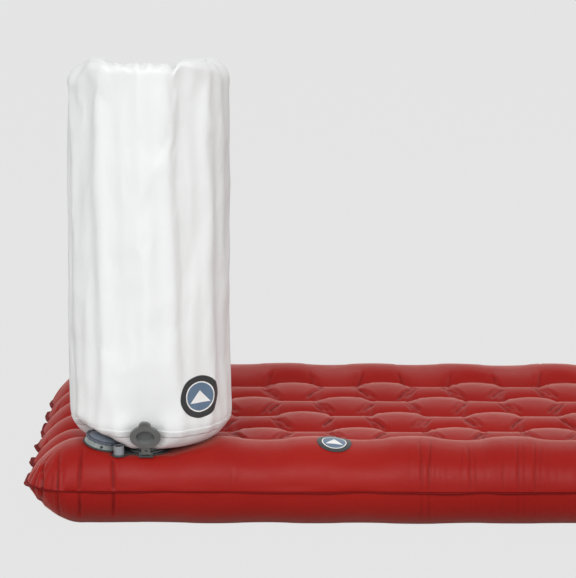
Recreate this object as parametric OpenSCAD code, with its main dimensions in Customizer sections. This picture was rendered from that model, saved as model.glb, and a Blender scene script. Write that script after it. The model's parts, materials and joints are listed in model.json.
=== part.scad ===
// Inflatable sleeping pad with its pump sack docked on the inflation valve.
// Frame: millimetres, +X along the pad towards the foot end, +Z up, +Y from the
// valve-side (near) rail towards the far rail. The origin is on the flat ground
// face of the near rail, at mid length.

/* [Pad] */
// Length of the inflated pad over the weld flange
pad_length = 1830; // [1600:10:2000]
// Width of the inflated pad over the weld flange
pad_width = 510; // [505:1:520]
// Diameter of the two outer rails
rail_d = 108; // [106:1:110]
// Diameter of the four inner rows
row_d = 89; // [87:1:90]
// Skin thickness of the coated fabric
skin_t = 0.8; // [0.6:0.1:1]
// Width of the perimeter weld flange
flange_w = 4; // [3:0.5:5]

/* [Baffles and insulation] */
// Length of one quilted bulge along a row
bulge_pitch = 124; // [116:2:132]
// Shift of the bulges from one row to the next
bulge_shift = 55; // [45:1:62]
// Sideways swing of the zigzag baffles
baffle_swing = 6; // [2:0.5:7]
// Thickness of a baffle web
baffle_t = 0.8; // [0.6:0.1:1]
// Thickness of the fibre batting
batting_t = 7; // [4:0.5:9]
// Thickness of the reflective film
film_t = 0.4; // [0.3:0.1:0.6]

/* [Valves] */
// Distance of the inflation port from the head end of the pad
port_from_end = 156; // [150:1:165]
// Opening angle at which the inflation cap stands
cap_open = 122; // [114:1:124]
// Diameter of the deflation valve's base flange
deflate_flange_d = 48; // [46:1:49]

/* [Pump sack] */
// Radius of the filled sack
sack_r = 102; // [98:1:103]
// Height of the sack's top panel above the ground
sack_top_z = 577; // [450:1:600]
// Fabric thickness of the sack
sack_t = 0.6; // [0.5:0.1:0.8]

/* [Hidden] */
$fn = 96;
sides = [-1, 1];

// tubes, numbered 0 (near rail) to 5 (far rail)
rail_r = rail_d / 2;
row_r = row_d / 2;
axis_z = rail_r - 1;               // every tube's axis: the rails rest 1 mm flat
tube_pitch = 2 * (pad_width / 2 - flange_w - rail_r) / 5;
tube_y = [for (k = [0:5]) k * tube_pitch];
near_y = tube_y[0];
head_x = -pad_length / 2;
tip_x = pad_length / 2 - flange_w; // tips of the tubes
seam_gap = 0.03;                   // from mid height to each shell
function tube_r(row) = (row == 0 || row == 5) ? rail_r : row_r;
function inner_r(row) = tube_r(row) - skin_t;

// valve cluster, on the near rail close to the head end
port_x = head_x + port_from_end;
port_y = near_y - 3;
seat_z = axis_z + rail_r - 14.5;   // flattened fabric under the inflation flange
bleed_x = port_x - 34;
bleed_y = near_y - 30;
hinge_y = near_y - 35;
hinge_rise = 4.2;
cap_reach = port_y - hinge_y;      // hinge to cap centre
deflate_lean = 14;                 // towards the foot end
valve_gap = 0.05;                  // fabric to valve flange
valve_flange_t = 1.6;
on_flange = 1.75;                  // level of the parts standing on a valve flange
seat_r = 17.4;                     // inflation seat's barrel
bleed_stem_r = 4.4;
deflate_stem_r = 15;

// pump sack
sack_x = port_x + 3;
sack_y = near_y + 42;
sack_z = seat_z + 7.2;             // underside of the base panel
base_round = 40;                   // rounding of the sack's lower edge
shoulder = 30;                     // rounding of its upper edge
sack_flat = sack_r - base_round;   // flat radius of the base
round_z = sack_z + base_round;     // top of the lower rounding
seam_z = sack_z + 25;
profile_lap = 0.5;                 // radial overlap of the profile's parts
round_lap = 0.2;                   // their overlap in height

// ---------- basic shapes ----------

module disc(z, height, radius) translate([0, 0, z]) cylinder(h = height, r = radius);

// round bar along X, starting at x
module rod_x(x, length, radius)
  translate([x, 0, 0]) rotate([0, 90, 0]) cylinder(h = length, r = radius);

module block(corner, size) translate(corner) cube(size);

// ring standing on z = 0; its bore is cut bore_h high, starting 1 below
module ring(height, outer_r, bore_r, bore_h) difference() {
  cylinder(h = height, r = outer_r);
  disc(-1, bore_h, bore_r);
}

module torus(ring_r, wire_r) rotate_extrude() translate([ring_r, 0]) circle(r = wire_r);

module clipped_circle(centre, radius, corner, size) intersection() {
  translate(centre) circle(r = radius);
  translate(corner) square(size);
}

// start of a stretch, or of its mirror image when side is -1
function mirrored(side, start, size) = side > 0 ? start : -start - size;

// ---------- frames ----------

module at_port() translate([port_x, port_y, seat_z]) children();
module at_bleed() translate([bleed_x, bleed_y, seat_z]) children();
module at_hinge() translate([port_x, hinge_y, seat_z + hinge_rise]) children();
module at_open_cap() at_hinge() rotate([cap_open, 0, 0]) children();
module at_nozzle() translate([port_x, port_y, sack_z]) children();
module at_sack() translate([sack_x, sack_y, 0]) children();

// deflation valve: leans towards the near side and the foot end
module deflate_frame()
  translate([port_x - 57, near_y - 5, axis_z + rail_r - 7])
    rotate([5, 0, 0]) rotate([0, deflate_lean, 0]) children();

// roll closure: lies on the part of the top panel that slopes down towards +Y
module closure_frame()
  translate([sack_x, sack_y + 10, sack_top_z]) rotate([-35, 0, 0]) children();

// ---------- pad outline ----------

// one inflated tube: a capsule along X, drawn inside its skin by inset
module tube(row, inset) {
  radius = tube_r(row);
  half_length = tip_x - radius;
  translate([0, tube_y[row], axis_z]) rotate([0, 90, 0]) {
    disc(-half_length, 2 * half_length, radius - inset);
    for (side = sides) translate([0, 0, side * half_length]) sphere(r = radius - inset);
  }
}

module tubes(inset) for (k = [0:5]) tube(k, inset);

module tube_plan(inset) for (k = [0:5]) {
  radius = tube_r(k);
  half_length = tip_x - radius;
  translate([-half_length, tube_y[k] - radius + inset])
    square([2 * half_length, 2 * (radius - inset)]);
  for (side = sides) translate([side * half_length, tube_y[k]]) circle(r = radius - inset);
}

module weld_flange(z) translate([0, 0, z]) linear_extrude(skin_t) difference() {
  tube_plan(-flange_w);
  tube_plan(skin_t);
}

// slab wider than the pad
module pad_slab(z, height)
  block([-pad_length, -pad_width, z], [2 * pad_length, 2 * pad_width, height]);

// outer form of the sack below top_z, grown by grow
module sack_envelope(grow, top_z) at_sack() rotate_extrude() {
  lap_r = sack_flat - profile_lap;
  translate([0, sack_z - grow]) square([sack_flat, top_z - sack_z + grow]);
  translate([lap_r, round_z]) square([base_round + grow + profile_lap, top_z - round_z]);
  clipped_circle([sack_flat, round_z], base_round + grow,
    [lap_r, sack_z - grow], [80, base_round + grow + round_lap]);
}

// room over the fabric, which is pressed flat under the two valve flanges
// and hollowed under the sack
module valve_dent(inset) {
  floor_z = seat_z - inset;
  head_edge = -36 - inset * tan(45 / 2);
  foot_edge = 32 + inset * tan(deflate_lean / 2);
  foot_run = 100;
  dent_top_z = seat_z + 80;
  translate([port_x, near_y + 44, 0]) rotate([90, 0, 0]) linear_extrude(120)
    polygon([
      [head_edge - 30, floor_z + 30],
      [head_edge, floor_z],
      [foot_edge, floor_z],
      [foot_edge + foot_run, floor_z + foot_run * tan(deflate_lean)],
      [32 + foot_run, dent_top_z],
      [-66, dent_top_z]
    ]);
  at_bleed() disc(-inset, 60, 11 + inset);
  deflate_frame() block([-62, -60, -inset], [62 + 25.5 + inset, 120, 60]);
  sack_envelope(1 + inset, sack_z + 90);
}

// ---------- pad shells ----------

module dented_tubes(inset) difference() {
  tubes(inset);
  valve_dent(inset);
}

module top_shell() color("firebrick") {
  difference() {
    intersection() {
      difference() {
        dented_tubes(0);
        dented_tubes(skin_t);
      }
      pad_slab(axis_z + seam_gap, 200);
    }
    at_port() disc(-5, 10, seat_r + 0.8);
    at_bleed() disc(-12, 20, bleed_stem_r + 0.3);
    deflate_frame() disc(-5, 10, deflate_stem_r + 0.4);
  }
  weld_flange(axis_z + seam_gap);
}

module bottom_shell() color("firebrick") {
  intersection() {
    difference() {
      tubes(0);
      difference() {
        tubes(skin_t);
        pad_slab(-50, 50 + skin_t);
      }
    }
    pad_slab(0, axis_z - seam_gap);
  }
  weld_flange(axis_z - seam_gap - skin_t);
}

// curved badge on the near rail, on the side away from the far rail
module pad_badge() color("slategray")
  translate([0, near_y, axis_z]) rotate([12, 0, 0]) intersection() {
    rotate([0, 90, 0]) translate([0, 0, -600]) ring(200, rail_r + 0.45, rail_r + 0.05, 202);
    translate([head_x + 390, 0, 20]) cylinder(h = 60, r = 21);
  }

// ---------- baffles ----------

baffle_corners = 68;               // last corner's number, counted from 0
first_corner = 8.125;              // bulges from mid length to corner 0, before the shift
flat_gain = 6;                     // what each flat gains at either end
baffle_trim = 0.6;                 // baffle edge to valley
baffle_end = 75;                   // tube tip to baffle

// inside the skin: distance from a tube's axis to its valley with the next tube,
// and half the height of that valley's opening
function valley_y(row) =
  (pow(tube_pitch, 2) + pow(inner_r(row), 2) - pow(inner_r(row + 1), 2)) / (2 * tube_pitch);
function valley_h(row) = sqrt(pow(inner_r(row), 2) - pow(valley_y(row), 2));

// corners of the zigzag web in plan: flats joined by short slopes, shifted from
// row to row so that a wide bulge faces a narrow waist
function swing_side(i) = (i % 4 < 2) ? 1 : -1;
function row_shift(row) = ((row - 1) * bulge_shift) % bulge_pitch;
function corner_x(row, i) =
  row_shift(row) + bulge_pitch * (i / 4 - first_corner) + ((i % 2 == 0) ? -flat_gain : flat_gain);
function web_corner(row, i, face) =
  [corner_x(row, i), baffle_swing * swing_side(i) + face * baffle_t / 2];

// web between a tube and the next
module baffle(row) color("tomato") {
  half_h = valley_h(row) - baffle_trim;
  intersection() {
    translate([0, tube_y[row] + valley_y(row), axis_z - half_h]) linear_extrude(2 * half_h)
      polygon(concat(
        [for (i = [0:baffle_corners]) web_corner(row, i, -1)],
        [for (i = [baffle_corners:-1:0]) web_corner(row, i, 1)]
      ));
    block([-tip_x + baffle_end, -pad_width, 0], [2 * (tip_x - baffle_end), 3 * pad_width, 200]);
  }
}

module baffle_1() baffle(0);
module baffle_2() baffle(1);
module baffle_3() baffle(2);
module baffle_4() baffle(3);
module baffle_5() baffle(4);

// ---------- insulation ----------

sheet_end = 70;                    // tube tip, or inflation port, to sheet
batting_rise = 6;                  // tube axis up to the batting
film_drop = 4;                     // tube axis down to the film

// free half-widths inside a tube: at a rail's outer side, next to a baffle that
// lies a given distance from the axis, and on the tube's near and far sides
rail_free = sqrt(pow(inner_r(0), 2) - pow(20, 2)) - 2;
function baffle_free(distance) = distance - baffle_swing - 2.2;
function free_near(row) = (row == 0) ? rail_free : baffle_free(tube_pitch - valley_y(row - 1));
function free_far(row) = (row == 5) ? rail_free : baffle_free(valley_y(row));

module sheet(row, z, thickness) {
  start_x = sheet_end + ((row == 0) ? port_x : -tip_x);
  block([start_x, tube_y[row] - free_near(row), z],
    [tip_x - sheet_end - start_x, free_near(row) + free_far(row), thickness]);
}

module batting(row) color("ivory") sheet(row, axis_z + batting_rise, batting_t);
module film(row) color("silver") sheet(row, axis_z - film_drop, film_t);

module batting_near_rail() batting(0);
module batting_row_1() batting(1);
module batting_row_2() batting(2);
module batting_row_3() batting(3);
module batting_row_4() batting(4);
module batting_far_rail() batting(5);

module film_near_rail() film(0);
module film_row_1() film(1);
module film_row_2() film(2);
module film_row_3() film(3);
module film_row_4() film(4);
module film_far_rail() film(5);

// ---------- inflation valve ----------

pin_r = 1;
knuckle_r = 2.4;
knuckle_w = 3;
knuckle_x = 7.1;                   // hinge middle to knuckle middle
seat_bottom = -7;                  // below seat_z
cross_w = 1.8;                     // bars of the cross in the port
cross_t = 2;
flap_t = 1.2;
flap_z = -8.3;
flap_tab_w = 10;
cap_z = 0.5;                       // underside of the closed cap's plate, above the hinge
cap_t = 3;

// shared flange of the port, its hinge and the bleed valve
module inflate_base() color("dimgray") difference() {
  union() {
    at_port() disc(valve_gap, valve_flange_t, 28.8);
    at_bleed() {
      disc(valve_gap, valve_flange_t, 9.4);
      rotate([0, 0, atan2(port_y - bleed_y, port_x - bleed_x)])
        block([0, -6, valve_gap], [26, 12, valve_flange_t]);
    }
    at_hinge() {
      block([-9, -4, valve_gap - hinge_rise], [18, 20, valve_flange_t]);
      for (side = sides) {
        start_x = side * knuckle_x - knuckle_w / 2;
        block([start_x, -knuckle_r, valve_gap - hinge_rise],
          [knuckle_w, 2 * knuckle_r, hinge_rise - valve_gap]);
        rod_x(start_x, knuckle_w, knuckle_r);
      }
    }
  }
  at_port() disc(-1, 4, seat_r + 0.3);
  at_bleed() disc(-1, 4, bleed_stem_r + 0.2);
  deflate_frame() disc(-6, 24, deflate_flange_d / 2 + 0.8);
  at_hinge() rod_x(-20, 40, pin_r + 0.03);
}

module inflate_hinge_pin() color("silver") at_hinge() rod_x(-8.4, 16.8, pin_r);

// collared barrel with a cross in its lower end
module inflate_seat() color("gray") at_port() {
  difference() {
    union() {
      disc(seat_bottom, 11.5, seat_r);
      disc(on_flange, 1.4, 22);
    }
    disc(seat_bottom - 1, 14, 14.2);
  }
  cross_z = seat_bottom + 0.1;
  intersection() {
    disc(cross_z, cross_t, 15);
    union() {
      block([-16, -cross_w / 2, cross_z], [32, cross_w, cross_t]);
      block([-cross_w / 2, -16, cross_z], [cross_w, 32, cross_t]);
    }
  }
}

// soft one-way flap that hangs under the port and opens into the pad
module check_flap() color("lightsteelblue") at_port() {
  disc(flap_z, flap_t, 16);
  block([-flap_tab_w / 2, 14, flap_z], [flap_tab_w, 4, flap_t]);
  translate([0, 18, flap_z + flap_t / 2]) rod_x(-flap_tab_w / 2, flap_tab_w, flap_t / 2);
}

// cap drawn closed over the port; its hinge barrel lies at the origin
module cap_closed() difference() {
  union() {
    translate([0, cap_reach, 0]) {
      disc(cap_z, cap_t, 19);
      disc(-4.8, 5.4, 13.9);       // hollow plug
    }
    translate([0, cap_reach + 19, cap_z]) cylinder(h = cap_t, r = 7.5); // finger tab
    block([-5.5, 0, cap_z], [11, cap_reach - 14, 1.8]);
    rod_x(-5.4, 10.8, 2.3);
  }
  translate([0, cap_reach, -3.4]) cylinder(h = 10, r = 11.6);
  translate([0, 6.4, -3]) cylinder(h = 10, r = 2.2);
  rod_x(-10, 20, pin_r + 0.06);
  translate([0, cap_reach + 21, 2.4]) cylinder(h = 3, r = 3.4);
}

module inflate_cap() color("dimgray") at_open_cap() cap_closed();

// ---------- bleed valve ----------

rod_r = 1.5;                       // the button's rod
spring_turns = 4;
spring_pitch = 1.8;

module bleed_housing() color("gainsboro") at_bleed() difference() {
  union() {
    disc(-9, 11, bleed_stem_r);
    disc(on_flange, 11.2, 6.8);
  }
  disc(3.2, 12, 5.6);
  disc(-12, 20, 2.1);
}

// button, rod and foot
module bleed_button() color("#222222") at_bleed() {
  disc(9.6, 2.2, 5.4);
  disc(-11, 21.5, rod_r);
  disc(-11.4, 1.3, 3.6);
}

// drawn as a stack of separate rings
module bleed_spring() color("silver") at_bleed()
  for (i = [0:spring_turns - 1])
    translate([0, 0, 3.7 + i * spring_pitch]) torus(ring_r = 3.6, wire_r = 0.35);

module bleed_seal() color("#222222") at_bleed()
  translate([0, 0, -10]) ring(0.9, 4.2, rod_r + 0.03, 4);

// ---------- deflation valve ----------

vent_r = 1.8;
vent_z = 4;
gasket_z = 6.35;
gasket_outer_r = 18;
gasket_inner_r = 15;

module deflate_base() color("dimgray") deflate_frame() difference() {
  disc(valve_gap, valve_flange_t, deflate_flange_d / 2);
  disc(-1, 4, deflate_stem_r + 0.2);
}

module deflate_seat() color("silver") deflate_frame() difference() {
  union() {
    translate([0, 0, on_flange]) cylinder(h = 5.6, r1 = 22.6, r2 = 20.6);
    disc(-6, 8, deflate_stem_r);
  }
  disc(-7, 20, 12.6);
  // side vents, opened when the cap has turned a quarter
  translate([0, 30, vent_z]) rotate([90, 0, 0]) cylinder(h = 60, r = vent_r);
  // gasket groove
  translate([0, 0, gasket_z - 0.05]) ring(4, gasket_outer_r + 0.1, gasket_inner_r - 0.1, 6);
}

module deflate_gasket() color("#222222") deflate_frame()
  translate([0, 0, gasket_z]) ring(1.1, gasket_outer_r, gasket_inner_r, 4);

// turning ring of the cap, with finger ribs and a hollow plug
module deflate_cap() color("lightslategray") deflate_frame() difference() {
  union() {
    disc(7.55, 3.4, 21.6);
    for (angle = [0:20:359])
      rotate([0, 0, angle]) translate([21.4, 0, 7.9]) cylinder(h = 2.7, r = 0.9);
    disc(-2, 10, 12.4);
  }
  disc(8.75, 4, 18.2);
  disc(-3, 9.5, 10.6);
  translate([0, 0, vent_z]) rod_x(-15, 30, vent_r);
}

module deflate_lens() color([0.6, 0.68, 0.78, 0.6]) deflate_frame() {
  dome_r = 62;
  crown_z = 13.2;
  intersection() {
    disc(8.8, 8, 18);
    translate([0, 0, crown_z - dome_r]) sphere(r = dome_r, $fn = 200);
  }
}

// ---------- pump sack ----------

// room the sack leaves for the deflation valve, the bleed valve and the open cap
module sack_relief(grow) {
  deflate_frame() disc(-20, 35.5 + grow, 26.5 + grow);
  at_bleed() disc(0, 16.5 + grow, 9.5 + grow);
  at_open_cap()
    translate([0, cap_reach + 3, -10.5 - grow]) cylinder(h = 60, r = 26.5 + grow);
}

// half profile of the sack, drawn inside its skin by inset
module sack_profile(inset) {
  height = sack_top_z - sack_z;
  lap_r = sack_flat - profile_lap;
  shoulder_r = sack_r - shoulder;
  shoulder_z = sack_top_z - shoulder;
  translate([0, sack_z + inset]) square([sack_flat, height - 2 * inset]);
  translate([lap_r, round_z])
    square([base_round + profile_lap - inset, height - base_round - shoulder]);
  clipped_circle([sack_flat, round_z], base_round - inset,
    [lap_r, sack_z], [60, base_round + round_lap]);
  translate([lap_r, shoulder_z - round_lap])
    square([base_round + profile_lap - shoulder, shoulder + round_lap - inset]);
  clipped_circle([shoulder_r, shoulder_z], shoulder - inset,
    [shoulder_r - profile_lap, shoulder_z - round_lap], [60, shoulder + round_lap]);
}

module sack_form(inset) difference() {
  at_sack() rotate_extrude() sack_profile(inset);
  sack_relief(inset);
  // beyond its crest the top panel falls away towards +Y, where the closure lies
  closure_frame() block([-150, -100, -inset], [300, 300, 200]);
}

// sack's skin between two levels
module sack_skin(z, height) intersection() {
  difference() {
    sack_form(0);
    sack_form(sack_t);
  }
  at_sack() block([-200, -200, z], [400, 400, height]);
}

// body, slotted through the top panel near the crest
module sack_body() color("whitesmoke") difference() {
  sack_skin(seam_z + 0.05, 600);
  at_sack() block([-52, -3.5, sack_top_z - 10], [104, 7, 20]);
}

module sack_base_panel() color("gainsboro") difference() {
  sack_skin(sack_z - 5, seam_z - sack_z + 5 - 0.05);
  at_nozzle() disc(-5, 10, spigot_r + 0.6);
}

// tape over the seam between the base panel and the body
module sack_base_binding() color("lightgray") difference() {
  at_sack() rotate_extrude() intersection() {
    translate([sack_flat, round_z]) difference() {
      circle(r = base_round + 0.55);
      circle(r = base_round + 0.05);
    }
    translate([sack_flat + 5, seam_z - 4]) square([60, 8]);
  }
  sack_relief(0.2);
}

// round badge on the wall, cut off just above the lower rounding
module sack_badge() color("slategray") difference() {
  translate([sack_x, sack_y, 169]) rotate([0, 0, -49]) intersection() {
    translate([0, 0, -40]) ring(80, sack_r + 0.5, sack_r + 0.06, 82);
    rod_x(60, 60, 28);
  }
  at_sack() disc(sack_z, base_round + 0.3, 200);
}

// ---------- sack nozzle ----------

spigot_r = 14;

// flanged tube with a groove for the O-ring
module nozzle_spigot() color("gray") at_nozzle() difference() {
  union() {
    disc(-10.2, 13.6, spigot_r);
    disc(-1.9, 1.6, 20);
  }
  disc(-12, 20, 10);
  translate([0, 0, -7.4]) ring(2.6, 16, 11.65, 5);
}

module nozzle_lock_ring() color("gray") at_nozzle()
  translate([0, 0, sack_t + 0.3]) ring(2, 19, spigot_r + 0.05, 4);

module nozzle_o_ring() color("#222222") at_nozzle()
  translate([0, 0, -6.1]) torus(ring_r = 12.9, wire_r = 1.15);

// ---------- sack closure ----------

closure_y = 46;                    // closure frame's origin down the slope to the roll
roll_half = 58;
webbing_t = 1.2;
webbing_w = 12;
strap_x = roll_half + 0.2;         // inner face of the strap at the roll's end
strap_tail_x = 22.4;               // where the strap ends at the buckle
buckle_y = 31.4;                   // roll axis to buckle
buckle_z = 9;
buckle_d = 8;                      // buckle's size along Y
buckle_h = 18;                     // and along Z

module roll_frame() closure_frame() translate([0, closure_y, 0]) children();
module buckle_frame() roll_frame() translate([0, buckle_y, buckle_z]) children();

module rolled_collar() color("whitesmoke") roll_frame() translate([0, 0, 9.3]) difference() {
  rod_x(-roll_half, 2 * roll_half, 9);
  rod_x(-roll_half - 1, 2 * roll_half + 2, 3.4);
}

// flat strip inside the roll
module collar_stiffener() color("dimgray") roll_frame()
  block([-56, -2.6, 8.7], [112, 5.2, 1.2]);

// flat webbing from one end of the roll to the buckle further down the slope
module collar_strap(side) color("#333333") roll_frame() {
  strap_z = buckle_z - webbing_w / 2;
  back_y = buckle_y + webbing_t / 2;
  tail_length = strap_x + webbing_t - strap_tail_x;
  block([mirrored(side, strap_x, webbing_t), -6, strap_z], [webbing_t, back_y + 6, webbing_w]);
  block([mirrored(side, strap_tail_x, tail_length), back_y - webbing_t, strap_z],
    [tail_length, webbing_t, webbing_w]);
}
module collar_strap_left() collar_strap(-1);
module collar_strap_right() collar_strap(1);

// hollow half, with openings above and below
module buckle_female() color("#222222") buckle_frame() difference() {
  block([-6, -buckle_d / 2, -buckle_h / 2], [28, buckle_d, buckle_h]);
  block([-7, -2.6, -7.2], [21, 5.2, 14.4]);
  for (side = sides) block([-1, -5, mirrored(side, 4.5, 10)], [11, 10, 10]);
}

// half with a tongue and two prongs
module buckle_male() color("#222222") buckle_frame() {
  block([-22, -buckle_d / 2, -buckle_h / 2], [15.8, buckle_d, buckle_h]);
  block([-6.5, -2.3, -1.5], [18, 4.6, 3]);
  for (side = sides) block([-6.5, -2.3, side * 5.2 - 1.2], [16, 4.6, 2.4]);
}

top_shell();
bottom_shell();
baffle_1();
baffle_2();
baffle_3();
baffle_4();
baffle_5();
batting_near_rail();
batting_row_1();
batting_row_2();
batting_row_3();
batting_row_4();
batting_far_rail();
film_near_rail();
film_row_1();
film_row_2();
film_row_3();
film_row_4();
film_far_rail();
pad_badge();
inflate_base();
inflate_seat();
check_flap();
inflate_cap();
inflate_hinge_pin();
bleed_housing();
bleed_button();
bleed_spring();
bleed_seal();
deflate_base();
deflate_seat();
deflate_gasket();
deflate_cap();
deflate_lens();
sack_body();
sack_base_panel();
sack_base_binding();
sack_badge();
nozzle_spigot();
nozzle_lock_ring();
nozzle_o_ring();
rolled_collar();
collar_stiffener();
collar_strap_left();
collar_strap_right();
buckle_female();
buckle_male();
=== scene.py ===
# An inflatable sleeping pad with its pump sack standing on it, in a plain studio.
# The pad lies flat along x. It is made of six tubes side by side: a rail at y = 0 on the
# near side (towards -y, where the camera is), four quilted rows, and a far rail at +y.
# Front and near mean -y, left means -x. Lengths are in millimetres unless a line says metres.
import json
import math

import bmesh
import bpy
import numpy as np
from mathutils import Matrix, Vector


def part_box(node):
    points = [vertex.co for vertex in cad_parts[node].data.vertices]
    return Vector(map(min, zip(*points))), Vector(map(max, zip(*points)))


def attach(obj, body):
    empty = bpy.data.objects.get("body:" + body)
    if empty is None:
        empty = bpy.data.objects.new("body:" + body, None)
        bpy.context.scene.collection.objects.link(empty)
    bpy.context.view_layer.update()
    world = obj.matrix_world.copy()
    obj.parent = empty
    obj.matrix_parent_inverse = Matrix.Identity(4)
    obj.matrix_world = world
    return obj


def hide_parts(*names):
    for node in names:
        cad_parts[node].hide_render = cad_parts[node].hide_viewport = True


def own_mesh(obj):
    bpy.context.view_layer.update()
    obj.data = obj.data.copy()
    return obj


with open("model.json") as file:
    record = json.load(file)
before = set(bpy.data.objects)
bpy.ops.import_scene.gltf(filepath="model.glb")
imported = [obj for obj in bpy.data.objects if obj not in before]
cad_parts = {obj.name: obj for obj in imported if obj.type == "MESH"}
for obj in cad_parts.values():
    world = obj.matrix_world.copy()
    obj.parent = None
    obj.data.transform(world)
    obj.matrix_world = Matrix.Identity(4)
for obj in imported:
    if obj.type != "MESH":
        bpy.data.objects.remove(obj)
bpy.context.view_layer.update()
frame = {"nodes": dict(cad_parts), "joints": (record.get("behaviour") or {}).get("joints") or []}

rng = np.random.RandomState(7)
MM = 0.001


# ------------------------------------------------------------------ sizes taken from the frame
def cad_box(name):
    lo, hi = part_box(name)
    return np.array(lo) / MM, np.array(hi) / MM


def cad_middle(name):
    lo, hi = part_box(name)
    return (np.array(lo) + np.array(hi)) / 2 / MM


def cad_points(name):
    return np.array([v.co for v in frame["nodes"][name].data.vertices], float) / MM


JOINTS = {j["name"]: j for j in frame["joints"]}

# pad
FLANGE = 4.0
shell_lo, shell_hi = cad_box("top_shell")
TIP_X = shell_hi[0] - FLANGE                 # tips of the tubes
WELD_Z = shell_lo[2]                         # level of the perimeter weld
RAIL_R = -shell_lo[1] - FLANGE
ROW_R = 44.5
FAR_Y = shell_hi[1] - FLANGE - RAIL_R        # far rail's axis
TUBE_PITCH = FAR_Y / 5.0
TUBE_Y = [k * TUBE_PITCH for k in range(6)]
TUBE_R = [RAIL_R, ROW_R, ROW_R, ROW_R, ROW_R, RAIL_R]
RAIL_X = TIP_X - RAIL_R                      # where the rails' rounded ends begin
QUILT_PITCH = 124.0
QUILT_SHIFT = 55.0                           # shift of the quilting from row to row

# valves
HINGE_X, HINGE_Y, HINGE_Z = [c / MM for c in JOINTS["inflate_cap_hinge"]["pos_m"]]
SEAT_Z = cad_box("inflate_base")[0][2] - 0.05
PORT = (HINGE_X, cad_middle("nozzle_lock_ring")[1])
BLEED = cad_middle("bleed_housing")[:2]
BLEED_TOP = cad_box("bleed_housing")[1][2]
DEFLATE_AT = np.array(JOINTS["deflate_cap_turn"]["pos_m"]) / MM
DEFLATE_AXIS = np.array(JOINTS["deflate_cap_turn"]["axis"], float)
DEFLATE_AXIS /= np.linalg.norm(DEFLATE_AXIS)

# pump sack
sack_lo, sack_hi = cad_box("sack_body")
SACK_X, SACK_Y = cad_middle("sack_body")[:2]
SACK_Z = cad_box("sack_base_panel")[0][2]
SEAM_Z = sack_lo[2]
SACK_TOP = sack_hi[2]
SACK_R = (sack_hi[0] - sack_lo[0]) / 2
BASE_ROUND = 40.0                            # radius of the sack's lower edge
FLAT_R = SACK_R - BASE_ROUND                 # flat part of its base


# ------------------------------------------------------------------ number helpers
def sstep(a, b, x):
    t = np.clip((x - a) / (b - a), 0, 1)
    return t * t * (3 - 2 * t)


def smooth_min(a, b, blend):
    h = np.clip(0.5 + 0.5 * (b - a) / blend, 0, 1)
    return b * (1 - h) + a * h - blend * h * (1 - h)


def gauss(reach, sigma):
    kernel = np.exp(-0.5 * (np.arange(-reach, reach + 1) / sigma) ** 2)
    return kernel / kernel.sum()


def blur(field, sigma, wrap_j=False):
    reach = int(max(1, round(3 * sigma)))
    kernel = gauss(reach, sigma)
    taps = range(2 * reach + 1)
    rows = np.pad(field, ((reach, reach), (0, 0)), mode="edge")
    rows = sum(kernel[i] * rows[i:i + field.shape[0]] for i in taps)
    both = np.pad(rows, ((0, 0), (reach, reach)), mode="wrap" if wrap_j else "edge")
    return sum(kernel[i] * both[:, i:i + field.shape[1]] for i in taps)


def grid_normals(points, wrap_j=False):
    di = np.gradient(points, axis=0)
    if wrap_j:
        dj = (np.roll(points, -1, 1) - np.roll(points, 1, 1)) / 2
    else:
        dj = np.gradient(points, axis=1)
    n = np.cross(di, dj)
    return n / np.maximum(np.linalg.norm(n, axis=2, keepdims=True), 1e-9)


def facing(normals, axis, sign):
    """Turns all the normals over if the middle one points away from sign along axis."""
    middle = normals[normals.shape[0] // 2, normals.shape[1] // 2, axis]
    return -normals if middle * sign < 0 else normals


# ------------------------------------------------------------------ mesh helpers
def set_smooth(mesh):
    mesh.polygons.foreach_set("use_smooth", [True] * len(mesh.polygons))


def new_mesh(name, verts, faces, mat, smooth=True):
    mesh = bpy.data.meshes.new(name)
    mesh.from_pydata([tuple(v) for v in (np.asarray(verts, float) * MM)], [],
                     [tuple(int(i) for i in f) for f in faces])
    mesh.update()
    mesh.materials.append(mat)
    if smooth:
        set_smooth(mesh)
    return mesh


def make(name, verts, faces, mat, smooth=True):
    ob = bpy.data.objects.new(name, new_mesh(name, verts, faces, mat, smooth))
    bpy.context.scene.collection.objects.link(ob)
    return ob


def place(ob, body, node_name):
    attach(ob, body)
    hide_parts(node_name)


def grid_faces(ni, nj, wrap_j=False, flip=False):
    I, J = np.meshgrid(np.arange(ni - 1), np.arange(nj if wrap_j else nj - 1), indexing="ij")
    I, J = I.ravel(), J.ravel()
    J2 = (J + 1) % nj
    faces = np.stack([I * nj + J, (I + 1) * nj + J, (I + 1) * nj + J2, I * nj + J2], 1)
    return faces[:, ::-1] if flip else faces


def band_faces(rows, count):
    """Two layers of a closed ring of rows x count points, joined along both edges."""
    layer = rows * count
    faces = list(grid_faces(rows, count, wrap_j=True))
    faces += list(grid_faces(rows, count, wrap_j=True, flip=True) + layer)
    for r in (0, rows - 1):
        for i in range(count):
            a, b = r * count + i, r * count + (i + 1) % count
            quad = (a, layer + a, layer + b, b)
            faces.append(quad if r == 0 else quad[::-1])
    return faces


def orient(ob, reshade=True, merge=None):
    """Makes the face normals point outwards; merge is a distance in metres."""
    bm = bmesh.new()
    bm.from_mesh(ob.data)
    if merge:
        bmesh.ops.remove_doubles(bm, verts=bm.verts, dist=merge)
    bmesh.ops.recalc_face_normals(bm, faces=bm.faces)
    bm.to_mesh(ob.data)
    bm.free()
    if reshade:
        set_smooth(ob.data)


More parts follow.
